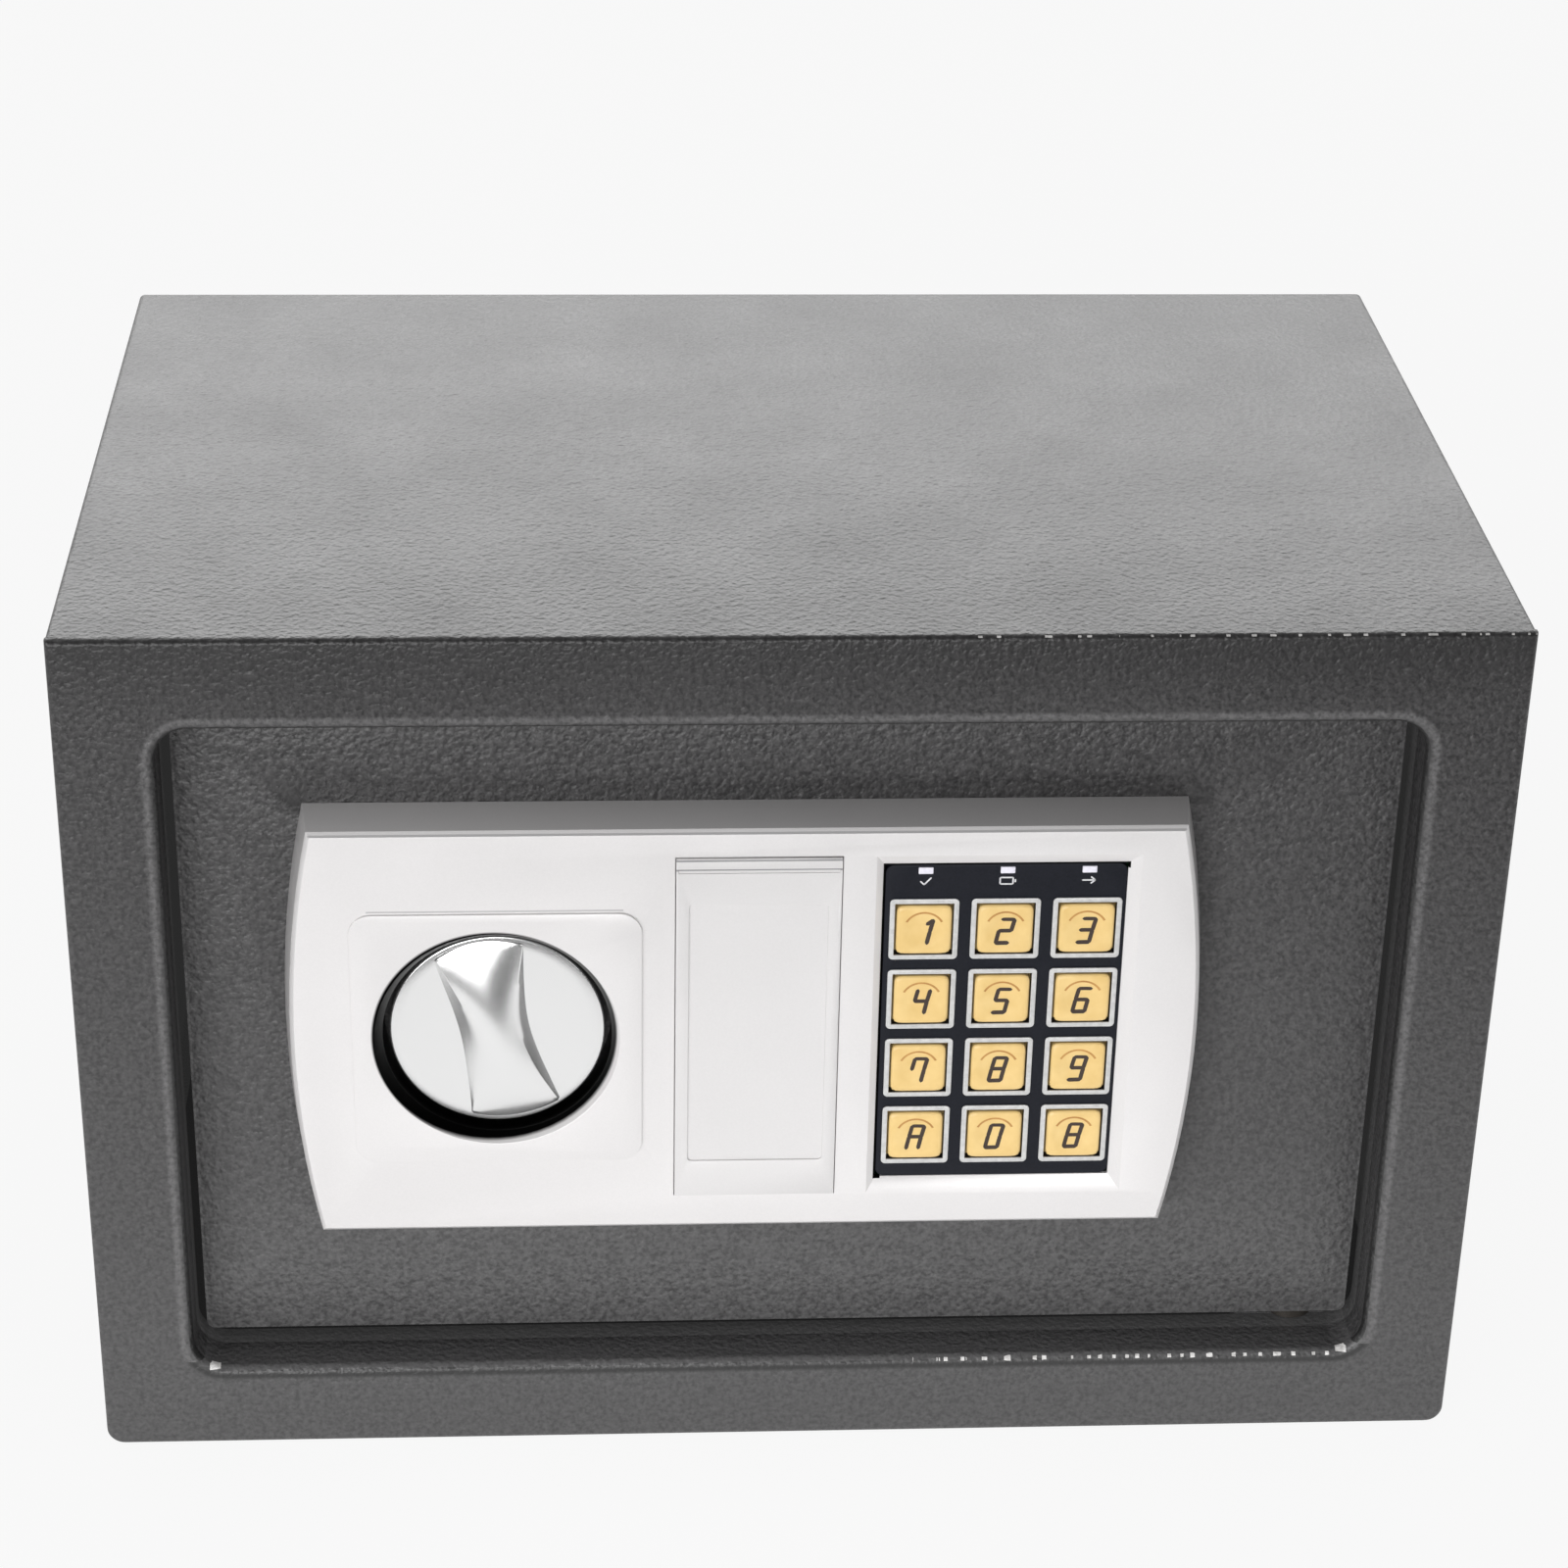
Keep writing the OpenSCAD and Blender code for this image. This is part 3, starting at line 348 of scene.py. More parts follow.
door_low, door_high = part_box("door_plate")
panel_low, panel_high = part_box("fascia")
panel_middle = (panel_low + panel_high) / 2
edge_and_panel_shade_grey = (0.006, 0.0056, 0.006)
low_door_light_grey = (0.11, 0.109, 0.11)
on_door_face = near(paint_back, door_low.y, 0.0005)
# Painted shade under the top edge and over the panel.
top_edge_shade = paint.step(paint_up, body_high.z - 0.017, body_high.z - 0.003)
top_edge_shade = top_edge_shade * (paint_back < body_low.y + 0.001)
over_panel_shade = paint.step(paint_up, panel_high.z + 0.007, panel_high.z)
over_panel_shade = over_panel_shade * (paint_up > panel_high.z - 0.002) * on_door_face
over_panel_shade = over_panel_shade * near(paint_right, panel_middle.x, panel_high.x - panel_middle.x)
tone = paint.blend(top_edge_shade.above(over_panel_shade) * 0.6, tone, edge_and_panel_shade_grey)
# Painted light on the low part of the door.
low_door_light = paint.step(paint_up, 0.07, 0.03) * (outside < -0.004) * on_door_face
tone = paint.blend(low_door_light * (ridges * 0.4 + 0.14), tone, low_door_light_grey)
print("dust above z", round(panel_high.z, 4), "on the door")

# %% [markdown]
# The bend gets a painted highlight, a paler line along the top and the sides, and painted shade,
# a dark line along the sill. Just past the bend, inside the doorway, a narrow band turns the other
# way: painted shade at the top and the sides, painted light on the sill.

# %% Paint the bend's highlight and shade
line_half = 0.0012
front_band = 0.0022
bend_highlight_grey = (0.125, 0.122, 0.124)
bend_shade_grey = (0.006, 0.006, 0.006)
past_bend_shade_grey = (0.008, 0.008, 0.008)
past_bend_light_grey = (0.13, 0.128, 0.13)
near_front = paint_back < body_low.y + front_band
sill = paint_up < body_low.z + border + 0.004
# Painted highlight on the bend at the top and sides, painted shade along the sill.
on_bend = paint.step(abs(outside - 0.0001), line_half, line_half / 4) * near_front
tone = paint.blend(on_bend * (1 - sill) * (ridges * 0.5 + 0.3), tone, bend_highlight_grey)
tone = paint.blend(on_bend * sill * 0.9, tone, bend_shade_grey)
# Just past the bend: painted shade at the top and sides, painted light on the sill.
past_bend = near(outside, -0.002, 0.0008) * (paint_back < door_high.y + 0.001)
tone = paint.blend(past_bend * near_front * (1 - sill) * 0.9, tone, past_bend_shade_grey)
tone = paint.blend(past_bend * sill * 0.35, tone, past_bend_light_grey)
print("bend line", line_half, "m to each side of the doorway's edge")

# %% [markdown]
# A very faint glow in the gap round the door, and on everything behind the door's inner cover,
# stands for light that bounces about inside. It keeps the gap from turning pure black.

# %% Light the gap round the door
skin = 0.001
inner_glow = 0.018
gap_front = door_low.y - 0.002
back_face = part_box("back_plate")[1].y
works_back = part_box("inner_cover")[1].y + 0.005
inside = near(paint_right, 0, body_high.x - skin) * (paint_back < back_face - skin)
inside = inside * (paint_up > skin) * (paint_up < body_high.z - skin)
in_gap = (outside > -0.0046) * (paint_back > gap_front)
glowing = inside * in_gap.above(paint_back > works_back)
paint.set("Emission Color", paint.blend(glowing, (0, 0, 0), (1, 1, 1)))
paint.set("Emission Strength", inner_glow)
print("glow", inner_glow, "behind y", round(gap_front, 4))

# %% [markdown]
# ## Chipped paint
# Where the folded steel gets knocked, small flecks of paint have gone: a dotted row along the
# front of the sill, and a few along the top front edge. A cell pattern that runs along X only
# places the flecks at uneven distances, and a second noise decides which of them are there.

# %% Chip the paint along two edges
fleck_gap = 0.0026
fleck_half = 0.15
row = paint.node("ShaderNodeTexVoronoi", {"voronoi_dimensions": "1D"},
                 {"W": paint_right, "Scale": 1 / fleck_gap})
present = paint.node("ShaderNodeTexNoise", {"noise_dimensions": "1D"},
                     {"W": paint_right, "Scale": 260.0, "Detail": 1.0})
flecks = (row < fleck_half * present * 2) * (present > 0.47)
sill_z = body_low.z + border + 0.0012
sill_row = (abs(paint_up - sill_z) < present * 0.0006) * near_front
sill_row = sill_row * (paint_right > 0.03) * (paint_right < 0.127)
edge_row = (paint_up > body_high.z - 0.0005) * (paint_back < body_low.y + 0.0007)
edge_row = edge_row * (paint_right > 0.035) * (present > 0.53) * 0.75
print("fleck rows at z", round(sill_z, 4), "and", round(body_high.z, 4))

# %% [markdown]
# The two low corners of the bend have each lost a larger spot. The bare steel under the chips is
# pale and uneven.

# %% Chip the corners and lay the chips over the paint
steel_dull = (0.3, 0.29, 0.28)
steel_bright = (0.9, 0.89, 0.88)
corner_x = body_high.x - border - 0.0066
corner_spots = near(abs(paint_right), corner_x, 0.0012) * near(paint_up, sill_z + 0.001, 0.0006)
chips = flecks * (sill_row + edge_row) + corner_spots * near_front
paint.set("Base Color", paint.blend(chips, tone, paint.blend(grain, steel_dull, steel_bright)))
print("corner spots at x", round(corner_x, 4), "and", round(-corner_x, 4))

# %% [markdown]
# ## Silver plastic
# The front panel, the middle cover and the knob are moulded plastic with a satin silver lacquer.
# The lacquer holds fine flakes, so it is not one flat grey: a very fine noise shifts its tone a
# little, and a wide one its gloss. The knob's lacquer is smoother and mirrors more.

# %% Mix the silver lacquer
def silver(name, colour, roughness, metallic):
    finish = Finish(name, colour, roughness, metallic, coat=0.1)
    flakes = finish.noise(0.0004, 1.0)
    cloud = finish.noise(0.02, 3.0)
    pale = [min(1, c * 1.04) for c in colour]
    deep = [c * 0.94 for c in colour]
    finish.lacquer = finish.blend(flakes * 0.6 + cloud * 0.4, deep, pale)
    finish.set("Base Color", finish.lacquer)
    finish.set("Roughness", cloud * 0.1 + (roughness - 0.05))
    finish.bump(flakes, 0.00002, 0.3)
    print(name, "mixed")
    return finish


panel_silver = silver("satin_silver_panel", (0.735, 0.72, 0.72), 0.38, 0.35)
cover_silver = silver("satin_silver_cover", (0.70, 0.687, 0.687), 0.38, 0.35)
knob_silver = silver("smooth_silver_plastic", (0.84, 0.84, 0.84), 0.24, 0.85)

# %% [markdown]
# The front panel has marks of its own. A fine groove runs along its top edge, and another along
# the top of the raised square round the knob. Their shade is painted as thin grey lines, laid over
# the lacquer.

# %% Paint the shade of the panel's two grooves
knob_low, knob_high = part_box("knob")
knob_middle = (knob_low + knob_high) / 2
groove_shade_grey = (0.20, 0.20, 0.21)
well_above = 0.0005
square_half = 0.0315
square_top = knob_middle.z + well_above + square_half
groove_up = panel_high.z - 0.0024
panel_right, panel_back, panel_up = panel_silver.split(panel_silver.place())
# Painted shade: grey lines for the top groove and the square's top edge.
groove = near(panel_up, groove_up, 0.00022) * (panel_back < panel_low.y + 0.0012)
square_step_shade = near(panel_up, square_top, 0.0002)
square_step_shade = square_step_shade * near(panel_right, knob_middle.x, square_half - 0.004)
marked = panel_silver.blend(groove.above(square_step_shade) * 0.45, panel_silver.lacquer, groove_shade_grey)
print("grooves at z", round(groove_up, 4), "and", round(square_top, 4))

# %% [markdown]
# The well round the knob is painted black as painted shade, which the eye reads as a deep ring. The
# keypad's mouth has a narrow black rim of painted shade too, on its left and at its top. Where the
# panel is painted black, its metal sheen and its gloss coat go down, so the shade stays black.

# %% Paint shade in the well and on the rim of the keypad's mouth
well_radius = 0.0264
well_aside = 0.0006
well_right = panel_right - (knob_middle.x - well_aside)
well_up = panel_up - (knob_middle.z + well_above)
from_well = (well_right * well_right + well_up * well_up) ** 0.5
# Painted shade: the knob's well, and the left and top rim of the keypad's mouth.
well = panel_silver.step(from_well, well_radius + 0.0005, well_radius)
pad_low, pad_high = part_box("keypad_plate")
pad_middle = (pad_low + pad_high) / 2
pad_half = (pad_high - pad_low) / 2
past_right = panel_right - pad_middle.x
past_up = panel_up - pad_middle.z
mouth = (abs(past_right) - pad_half.x).above(abs(past_up) - pad_half.z)
upper_left = (past_right < 0.001 - pad_half.x).above(past_up > pad_half.z - 0.001)
dark = well.above((abs(mouth) < 0.0006) * upper_left)
panel_silver.set("Base Color", panel_silver.blend(dark, marked, (0.003, 0.003, 0.003)))
panel_silver.set("Metallic", dark * 0.65 + 0.35)
panel_silver.set("Coat Weight", 0.1 - dark * 0.1)
print("well black within", well_radius, "m of the knob's axis")

# %% [markdown]
# The pull-off cover has a thin grip at its top, drawn by two dark lines of painted shade with a
# bright band between.

# %% Paint shade along the cover's grip
grip_shade_grey = (0.16, 0.16, 0.17)
cover_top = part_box("lock_cover")[1].z
cover_up = cover_silver.split(cover_silver.place())[2]
# Painted shade: two dark lines along the cover's grip.
grip_shade_lines = near(cover_up, cover_top - 0.0004, 0.00025)
grip_shade_lines = grip_shade_lines.above(near(cover_up, cover_top - 0.0027, 0.00022))
cover_tone = cover_silver.blend(grip_shade_lines * 0.75, cover_silver.lacquer, grip_shade_grey)
cover_silver.set("Base Color", cover_tone)
print("grip lines under z", round(cover_top, 4))

# %% [markdown]
# ## Finishes of two close tones
# Real plastic, ink and metal are never one flat colour. Most of the small finishes drift between
# two close tones in a noise of their own size, and many sway in roughness with it, so one
# function mixes them all.

# %% Mix a finish that drifts between two tones
def two_tone(name, deep, pale, size, roughness, sway=0.0, detail=3.0, metallic=0.0, coat=0.0):
    finish = Finish(name, pale, roughness, metallic, coat)
    finish.cloud = finish.noise(size, detail)
    finish.set("Base Color", finish.blend(finish.cloud, deep, pale))
    if sway:
        finish.set("Roughness", finish.cloud * sway + roughness)
    print(name, "mixed")
    return finish


# %% [markdown]
# The keypad face is blue-black with a fine grain and hardly any shine. The keys are amber
# plastic, with a darker amber painted as shade on the upper edge of their dimple. The legends are a
# dark brown ink, and the frames round the keys are a light metallic print that has worn slightly
# uneven.

# %% Mix the keypad finishes
pad_black = two_tone("matt_black_plastic", (0.005, 0.006, 0.009), (0.012, 0.013, 0.019),
                     size=0.0005, roughness=0.36, sway=0.2, detail=2.0)
pad_black.set("Specular IOR Level", 0.18)
pad_black.bump(pad_black.cloud, 0.00004, 0.5)
amber = two_tone("amber_key_plastic", (0.66, 0.44, 0.15), (0.80, 0.59, 0.26),
                 size=0.004, roughness=0.3, sway=0.15, coat=0.2)
amber.bump(amber.noise(0.0006, 2.0), 0.00002, 0.4)
# Painted shade for the upper edge of the keys' dimples.
amber_rim = two_tone("shaded_amber_rim", (0.30, 0.13, 0.03), (0.60, 0.32, 0.09),
                     size=0.003, roughness=0.4)
ink = two_tone("brown_ink", (0.018, 0.012, 0.010), (0.055, 0.032, 0.022),
               size=0.0004, roughness=0.5, detail=2.0)
frame_print = two_tone("light_frame_print", (0.42, 0.42, 0.42), (0.68, 0.68, 0.67),
                       size=0.0012, roughness=0.28, sway=0.2, metallic=0.2)
symbol_print = two_tone("pale_symbol_print", (0.50, 0.50, 0.52), (0.76, 0.76, 0.78),
                        size=0.0004, roughness=0.5, detail=2.0)
lens = two_tone("frosted_lens", (0.62, 0.60, 0.70), (0.86, 0.85, 0.92),
                size=0.0008, roughness=0.25, detail=2.0, coat=0.3)

# %% [markdown]
# ## Metals behind the door
# The works are plated steel, brass and copper wire. Each gets the mark of how it was made: rolled
# steel has fine streaks along its length, brass is tarnished in clouds, and a coil has its turns
# of wire.

# %% Mix the metals
zinc = Finish("zinc_plated_steel", (0.55, 0.55, 0.56), 0.34, metallic=1.0)
streaks = zinc.noise(0.0006, 3.0, 0.6, stretch=(0.08, 1, 1))
zinc.set("Base Color", zinc.blend(streaks, (0.46, 0.46, 0.48), (0.66, 0.66, 0.66)))
zinc.set("Roughness", streaks * 0.2 + 0.24)
zinc.bump(streaks, 0.00002, 0.5)
brass = two_tone("turned_brass", (0.45, 0.29, 0.10), (0.72, 0.52, 0.22),
                 size=0.004, roughness=0.2, sway=0.2, detail=4.0, metallic=1.0)
oiled = two_tone("oiled_dark_washer", (0.03, 0.027, 0.024), (0.09, 0.08, 0.07),
                 size=0.002, roughness=0.4, metallic=0.6)
copper = Finish("wound_copper", (0.55, 0.22, 0.09), 0.35, metallic=0.8)
turns = copper.node("ShaderNodeTexWave", {"bands_direction": "Z"},
                    {"Vector": copper.place(), "Scale": 620.0, "Distortion": 0.3})
copper.set("Base Color", copper.blend(turns, (0.30, 0.10, 0.04), (0.68, 0.30, 0.13)))
copper.bump(turns, 0.0002, 0.8)
print("metals: 4")

# %% [markdown]
# ## Felt, boards, cells and plastic inside
# The felt mat is matted fibre, and the same faint glow as the gap's keeps it from turning pure
# black under the door. The green boards show their tracks.

# %% Mix the felt and the boards
mat_glow = 0.014
felt = Finish("grey_felt", (0.05, 0.05, 0.055), 0.95)
fibre = felt.noise(0.0006, 5.0, 0.7)
matted = fibre * 0.7 + felt.noise(0.012, 3.0) * 0.3
felt.set("Base Color", felt.blend(matted, (0.022, 0.022, 0.026), (0.09, 0.09, 0.095)))
felt.set("Emission Color", felt.blend(fibre, (0.5, 0.5, 0.5), (1, 1, 1)))
felt.set("Emission Strength", mat_glow)
felt.bump(fibre, 0.0006, 0.9)
board_green = Finish("green_board", (0.02, 0.16, 0.06), 0.3, coat=0.3)
brick_ports = {"Vector": board_green.place(), "Scale": 260.0, "Mortar Size": 0.03}
tracks = board_green.node("ShaderNodeTexBrick", {}, brick_ports, "Fac")
board_tone = board_green.blend(tracks, (0.015, 0.12, 0.045), (0.03, 0.24, 0.10))
board_green.set("Base Color", board_tone)
board_green.bump(tracks, 0.00003, 0.5)
print("felt and boards mixed")

# %% [markdown]
# The battery cells have a blue sleeve with a copper-coloured band at one end. The reset button is
# red, and the black plastic inside has a leather grain.

# %% Mix the cells' sleeve and the plastic inside
band_long = 0.0142
cell_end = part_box("batteries")[1].x
sleeve = Finish("cell_sleeve", (0.06, 0.09, 0.16), 0.3, 0.2, coat=0.4)
sleeve_right = sleeve.split(sleeve.place())[0]
band = sleeve.step(sleeve_right, cell_end - band_long, cell_end - band_long + 0.0002)
scuff = sleeve.noise(0.003, 3.0)
sleeve_blue = sleeve.blend(scuff, (0.04, 0.07, 0.13), (0.07, 0.11, 0.2))
sleeve.set("Base Color", sleeve.blend(band, sleeve_blue, (0.65, 0.40, 0.14)))
sleeve.set("Roughness", scuff * 0.2 + 0.22)
red = two_tone("red_button_plastic", (0.42, 0.012, 0.012), (0.62, 0.03, 0.025),
               size=0.003, roughness=0.3, coat=0.2)
inside_black = Finish("grained_black_plastic", (0.02, 0.02, 0.02), 0.55)
leather_grain = inside_black.cells(0.0012)
black_tone = inside_black.blend(leather_grain, (0.03, 0.03, 0.03), (0.014, 0.014, 0.014))
inside_black.set("Base Color", black_tone)
inside_black.bump(leather_grain, 0.0001, 0.7)
print("sleeve and plastics mixed")

# %% [markdown]
# ## Finishing the solids that are right as they are
# Most of the works inside need no new shape. Each gets its finish on the material slot that it
# already has, so its mesh and place stay as packed.

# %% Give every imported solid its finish
finishes = {
    paint: "body_wrap top_plate back_plate front_frame hinge_lugs"
           " door_plate inner_cover hinge_blocks",
    panel_silver: "fascia",
    cover_silver: "lock_cover",
    knob_silver: "knob",
    pad_black: "keypad_plate",
    inside_black: "battery_holder battery_cover",
    amber: "key_1 key_2 key_3 key_4 key_5 key_6 key_7 key_8 key_9 key_a key_0 key_b",
    frame_print: "key_frames",
    lens: "indicator_lights board_spacers",
    zinc: "hinge_pins fascia_screws knob_shaft shaft_clip knob_crank bolt_carriage locking_bolts"
          " bolt_guide guide_pins solenoid_frame solenoid_plunger emergency_lock_housing lock_nut"
          " emergency_lock_cam contact_domes battery_contacts cover_posts cover_screws",
    brass: "shaft_bushing emergency_lock_plug",
    oiled: "hinge_washers",
    copper: "solenoid_coil",
    felt: "floor_mat",
    board_green: "keypad_board control_board",
    sleeve: "batteries",
    red: "reset_button",
}
for finish, names in finishes.items():
    for name in names.split():
        mesh = nodes[name].data
        mesh.materials.clear()
        mesh.materials.append(finish.material)
print("finished:", sum(len(names.split()) for names in finishes.values()))

# %% [markdown]
# ## Rounding the edges that catch the light
# Folded steel and moulded plastic have no knife edges: each edge is a narrow round that shows as
# a line of light. Every piece that is made here goes through one function, which turns the shape
# into an object, finishes it and ties it to the body that it moves with.

# %% Turn a shape into a piece of the safe
def to_object(shape, name, finish, body, replaced=None):
    mesh = bpy.data.meshes.new(name)
    shape.to_mesh(mesh)
    shape.free()
    mesh.materials.append(finish.material)
    piece = bpy.data.objects.new(name, mesh)
    bpy.context.scene.collection.objects.link(piece)
    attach(piece, body)
    if replaced:
        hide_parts(replaced)
    print(name, len(mesh.polygons), "faces")
    return piece


def round_edges(piece, width, segments):
    edge = piece.modifiers.new("edges", "BEVEL")
    edge.width = width
    edge.segments = segments
    edge.limit_method = "WEIGHT"
    edge.harden_normals = True
    edge.use_clamp_overlap = True


print("pieces can be made and rounded")

# %% [markdown]
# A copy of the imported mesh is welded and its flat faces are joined. Each sharp edge gets a bevel
# weight, so that one Bevel modifier rounds the knocked outer edges wide and the rest narrow.

# %% Copy a solid and soften its edges
weld_gap = 2e-6
flat_angle = math.radians(0.6)
sharp_angle = math.radians(28)


def soften(name, body, finish, width, segments=3, share=lambda edge: 1):
    shape = bmesh.new()
    shape.from_mesh(nodes[name].data)
    bmesh.ops.remove_doubles(shape, verts=shape.verts, dist=weld_gap)
    bmesh.ops.dissolve_limit(shape, angle_limit=flat_angle, verts=shape.verts,
                             edges=shape.edges, use_dissolve_boundaries=False)
    weight = shape.edges.layers.float.new("bevel_weight_edge")
    for edge in shape.edges:
        if len(edge.link_faces) == 2 and edge.calc_face_angle() > sharp_angle:
            edge[weight] = share(edge)
            edge.smooth = edge[weight] > 0
    for face in shape.faces:
        face.smooth = True
    piece = to_object(shape, name + "_softened", finish, body, name)
    round_edges(piece, width, segments)


print("edges sharper than", round(math.degrees(sharp_angle)), "degrees get rounded")

# %% [markdown]
# The front frame is welded to the box behind it and the seam is ground flush, so the edges on the
# seam stay sharp. The frame's outer edges are the widest, where the folded steel bends.

# %% Soften the welded box
touching = 1e-5
inner_share = 0.35
seam_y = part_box("body_wrap")[0].y


def on_seam(edge):
    return all(abs(vert.co.y - seam_y) < touching for vert in edge.verts)


def shell_share(edge):
    return 0 if on_seam(edge) else 1


def frame_share(edge):
    outer = all(vert.co.y < body_low.y + touching for vert in edge.verts)
    return shell_share(edge) * (1 if outer else inner_share)


soften("front_frame", "body", paint, 0.0013, 4, frame_share)
soften("body_wrap", "body", paint, 0.0005, 3, shell_share)
soften("top_plate", "body", paint, 0.0005, 3, shell_share)

# %% [markdown]
# The door and what is moulded from plastic have smaller rounds, down to a seventh of a millimetre
# on the printed frames round the keys.

# %% Soften the pieces of the door
soften("door_plate", "door", paint, 0.0009)
soften("fascia", "door", panel_silver, 0.00035)
soften("lock_cover", "middle_cover", cover_silver, 0.0003)
soften("keypad_plate", "door", pad_black, 0.0002, 2)
soften("key_frames", "door", frame_print, 0.00015, 2)
soften("indicator_lights", "door", lens, 0.0002, 2)

# %% [markdown]
# ## The knob
# The knob is a shallow disc with a finger grip across it. The disc is one profile spun round
# the axis of the shaft.

# %% Spin the disc
knob_radius = (knob_high.x - knob_low.x) / 2
grip_rise = 0.0036
knob_face = knob_low.y + grip_rise
knob_back = knob_face + 0.0055
hub_radius = 0.008
weld_tips = 1e-7


def spin_profile(centre, profile, steps=96):
    shape = bmesh.new()
    points = [shape.verts.new((centre.x + r, y, centre.z)) for r, y in profile]
    edges = [shape.edges.new(pair) for pair in zip(points, points[1:])]
    bmesh.ops.spin(shape, geom=points + edges, cent=(centre.x, 0, centre.z), axis=(0, 1, 0),
                   angle=math.tau, steps=steps, use_merge=True)
    bmesh.ops.remove_doubles(shape, verts=shape.verts, dist=weld_tips)
    bmesh.ops.recalc_face_normals(shape, faces=shape.faces)
    for face in shape.faces:
        face.smooth = True
    return shape


disc = spin_profile(knob_middle, [
    (0, knob_face + 0.0005), (0.008, knob_face + 0.0004), (0.016, knob_face + 0.0002),
    (0.0205, knob_face + 0.0001), (knob_radius - 0.0004, knob_face),
    (knob_radius - 0.0001, knob_face + 0.0001), (knob_radius, knob_face + 0.0004),
    (knob_radius, knob_back - 0.0006), (knob_radius - 0.0006, knob_back),
    (hub_radius, knob_back), (hub_radius, knob_high.y), (0, knob_high.y)])
to_object(disc, "knob_disc", knob_silver, "turn_knob", "knob")

# %% [markdown]
# The grip is pinched in the middle, flares towards the rim and falls away to it above and below,
# so its upper half is a slope that catches the light. It starts as a flat grid. The middle
# columns make the crowned top and the outer ones the sloping sides. The crown runs a little
# crosswise, so each lobe has one tall side and one that fades out.

# %% Say where each point of the grip lies
grip_lean = math.radians(10.5)
grip_turn = Matrix.Rotation(-grip_lean, 3, "Y")
grip_flare = 0.42
grip_waist = 0.0049
grip_reach = knob_radius - 0.0011
grip_sink = 0.0006
top_share = 0.7
left_slope = 1.0
right_slope = 0.62
cross_crown = 0.45
crown_shift = 0.4


def grip_point(across, along):
    up = grip_reach * math.sin(along * math.pi / 2)
    height = grip_rise * max(0, 1 - (up / grip_reach) ** 2)
    round_half = math.sqrt(max(0, grip_reach ** 2 - up ** 2))
    top_half = min(math.hypot(grip_waist, up * grip_flare), round_half)
    share = min(1, abs(across) / top_share)
    side = max(0, (abs(across) - top_share) / (1 - top_share))
    slope = left_slope if across < 0 else right_slope
    out = min(top_half * share + side * slope * height, round_half + 0.0001)
    off_crown = math.copysign(share, across) + crown_shift * up / grip_reach
    crowned = height * (1 - cross_crown * off_crown * off_crown)
    rise = crowned * (1 - side) - grip_sink * side
    turned = grip_turn @ Vector((math.copysign(out, across), 0, up))
    return knob_middle.x + turned.x, knob_face - rise, knob_middle.z + turned.z


print("grip", round(2 * grip_reach, 4), "m long")

# %% [markdown]
# Moved onto that form, the grid is closed at its foot, which lies inside the disc. The edges
# along its sides are rounded, except at the two tips, where the points lie too close together.

# %% Raise the pinched grip across the disc
grip_sharp = math.radians(22)
tip_share = 0.97
grip = bmesh.new()
bmesh.ops.create_grid(grip, x_segments=20, y_segments=72, size=1)
for vert in grip.verts:
    vert.co = grip_point(vert.co.x, vert.co.y)
bmesh.ops.remove_doubles(grip, verts=grip.verts, dist=1e-6)
hem = [edge for edge in grip.edges if edge.is_boundary]
foot = bmesh.ops.holes_fill(grip, edges=hem, sides=0)["faces"]
bmesh.ops.recalc_face_normals(grip, faces=grip.faces)
weight = grip.edges.layers.float.new("bevel_weight_edge")
for edge in grip.edges:
    from_middle = max((vert.co - knob_middle).xz.length for vert in edge.verts)
    edge.smooth = not any(face in foot for face in edge.link_faces)
    if edge.smooth and from_middle < grip_reach * tip_share and edge.calc_face_angle() > grip_sharp:
        edge[weight] = 1
for face in grip.faces:
    face.smooth = True
round_edges(to_object(grip, "knob_grip", knob_silver, "turn_knob"), 0.0002, 2)

# %% [markdown]
# ## The keys
# A key is a square cap with a round dimple for the fingertip. The cap starts as a circle. Inner
# rings sink on the dimple's curve, and an outer ring is pushed out onto the rounded square, so
# the dimple has a clean edge with few faces.

# %% Set out the dimple and the square
key_labels = {"key_1": "1", "key_2": "2", "key_3": "3", "key_4": "4", "key_5": "5", "key_6": "6",
              "key_7": "7", "key_8": "8", "key_9": "9", "key_a": "A", "key_0": "0", "key_b": "B"}
cap_half = 0.006
dimple_radius = 0.0046
dimple_depth = 0.0005
flange_t = 0.0006
round_sides = 64
dimple_rings = (0.89, 0.82, 0.65, 0.45, 0.25, 0.08)


def dimple(radius):
    return dimple_depth * max(0, 1 - (radius / dimple_radius) ** 2)


def push_to_square(verts, centre, half, corner, y):
    for vert in verts:
        x, z = vert.co.x - centre.x, vert.co.z - centre.z
        size = (abs(x) ** corner + abs(z) ** corner) ** (1 / corner)
        vert.co = (centre.x + x * half / size, y, centre.z + z * half / size)


def extruded(shape, ring):
    made = bmesh.ops.extrude_edge_only(shape, edges=ring)["geom"]
    verts = [part for part in made if isinstance(part, bmesh.types.BMVert)]
    return verts, [part for part in made if isinstance(part, bmesh.types.BMEdge)]


print("dimple", dimple_depth, "m deep on", len(key_labels), "keys")
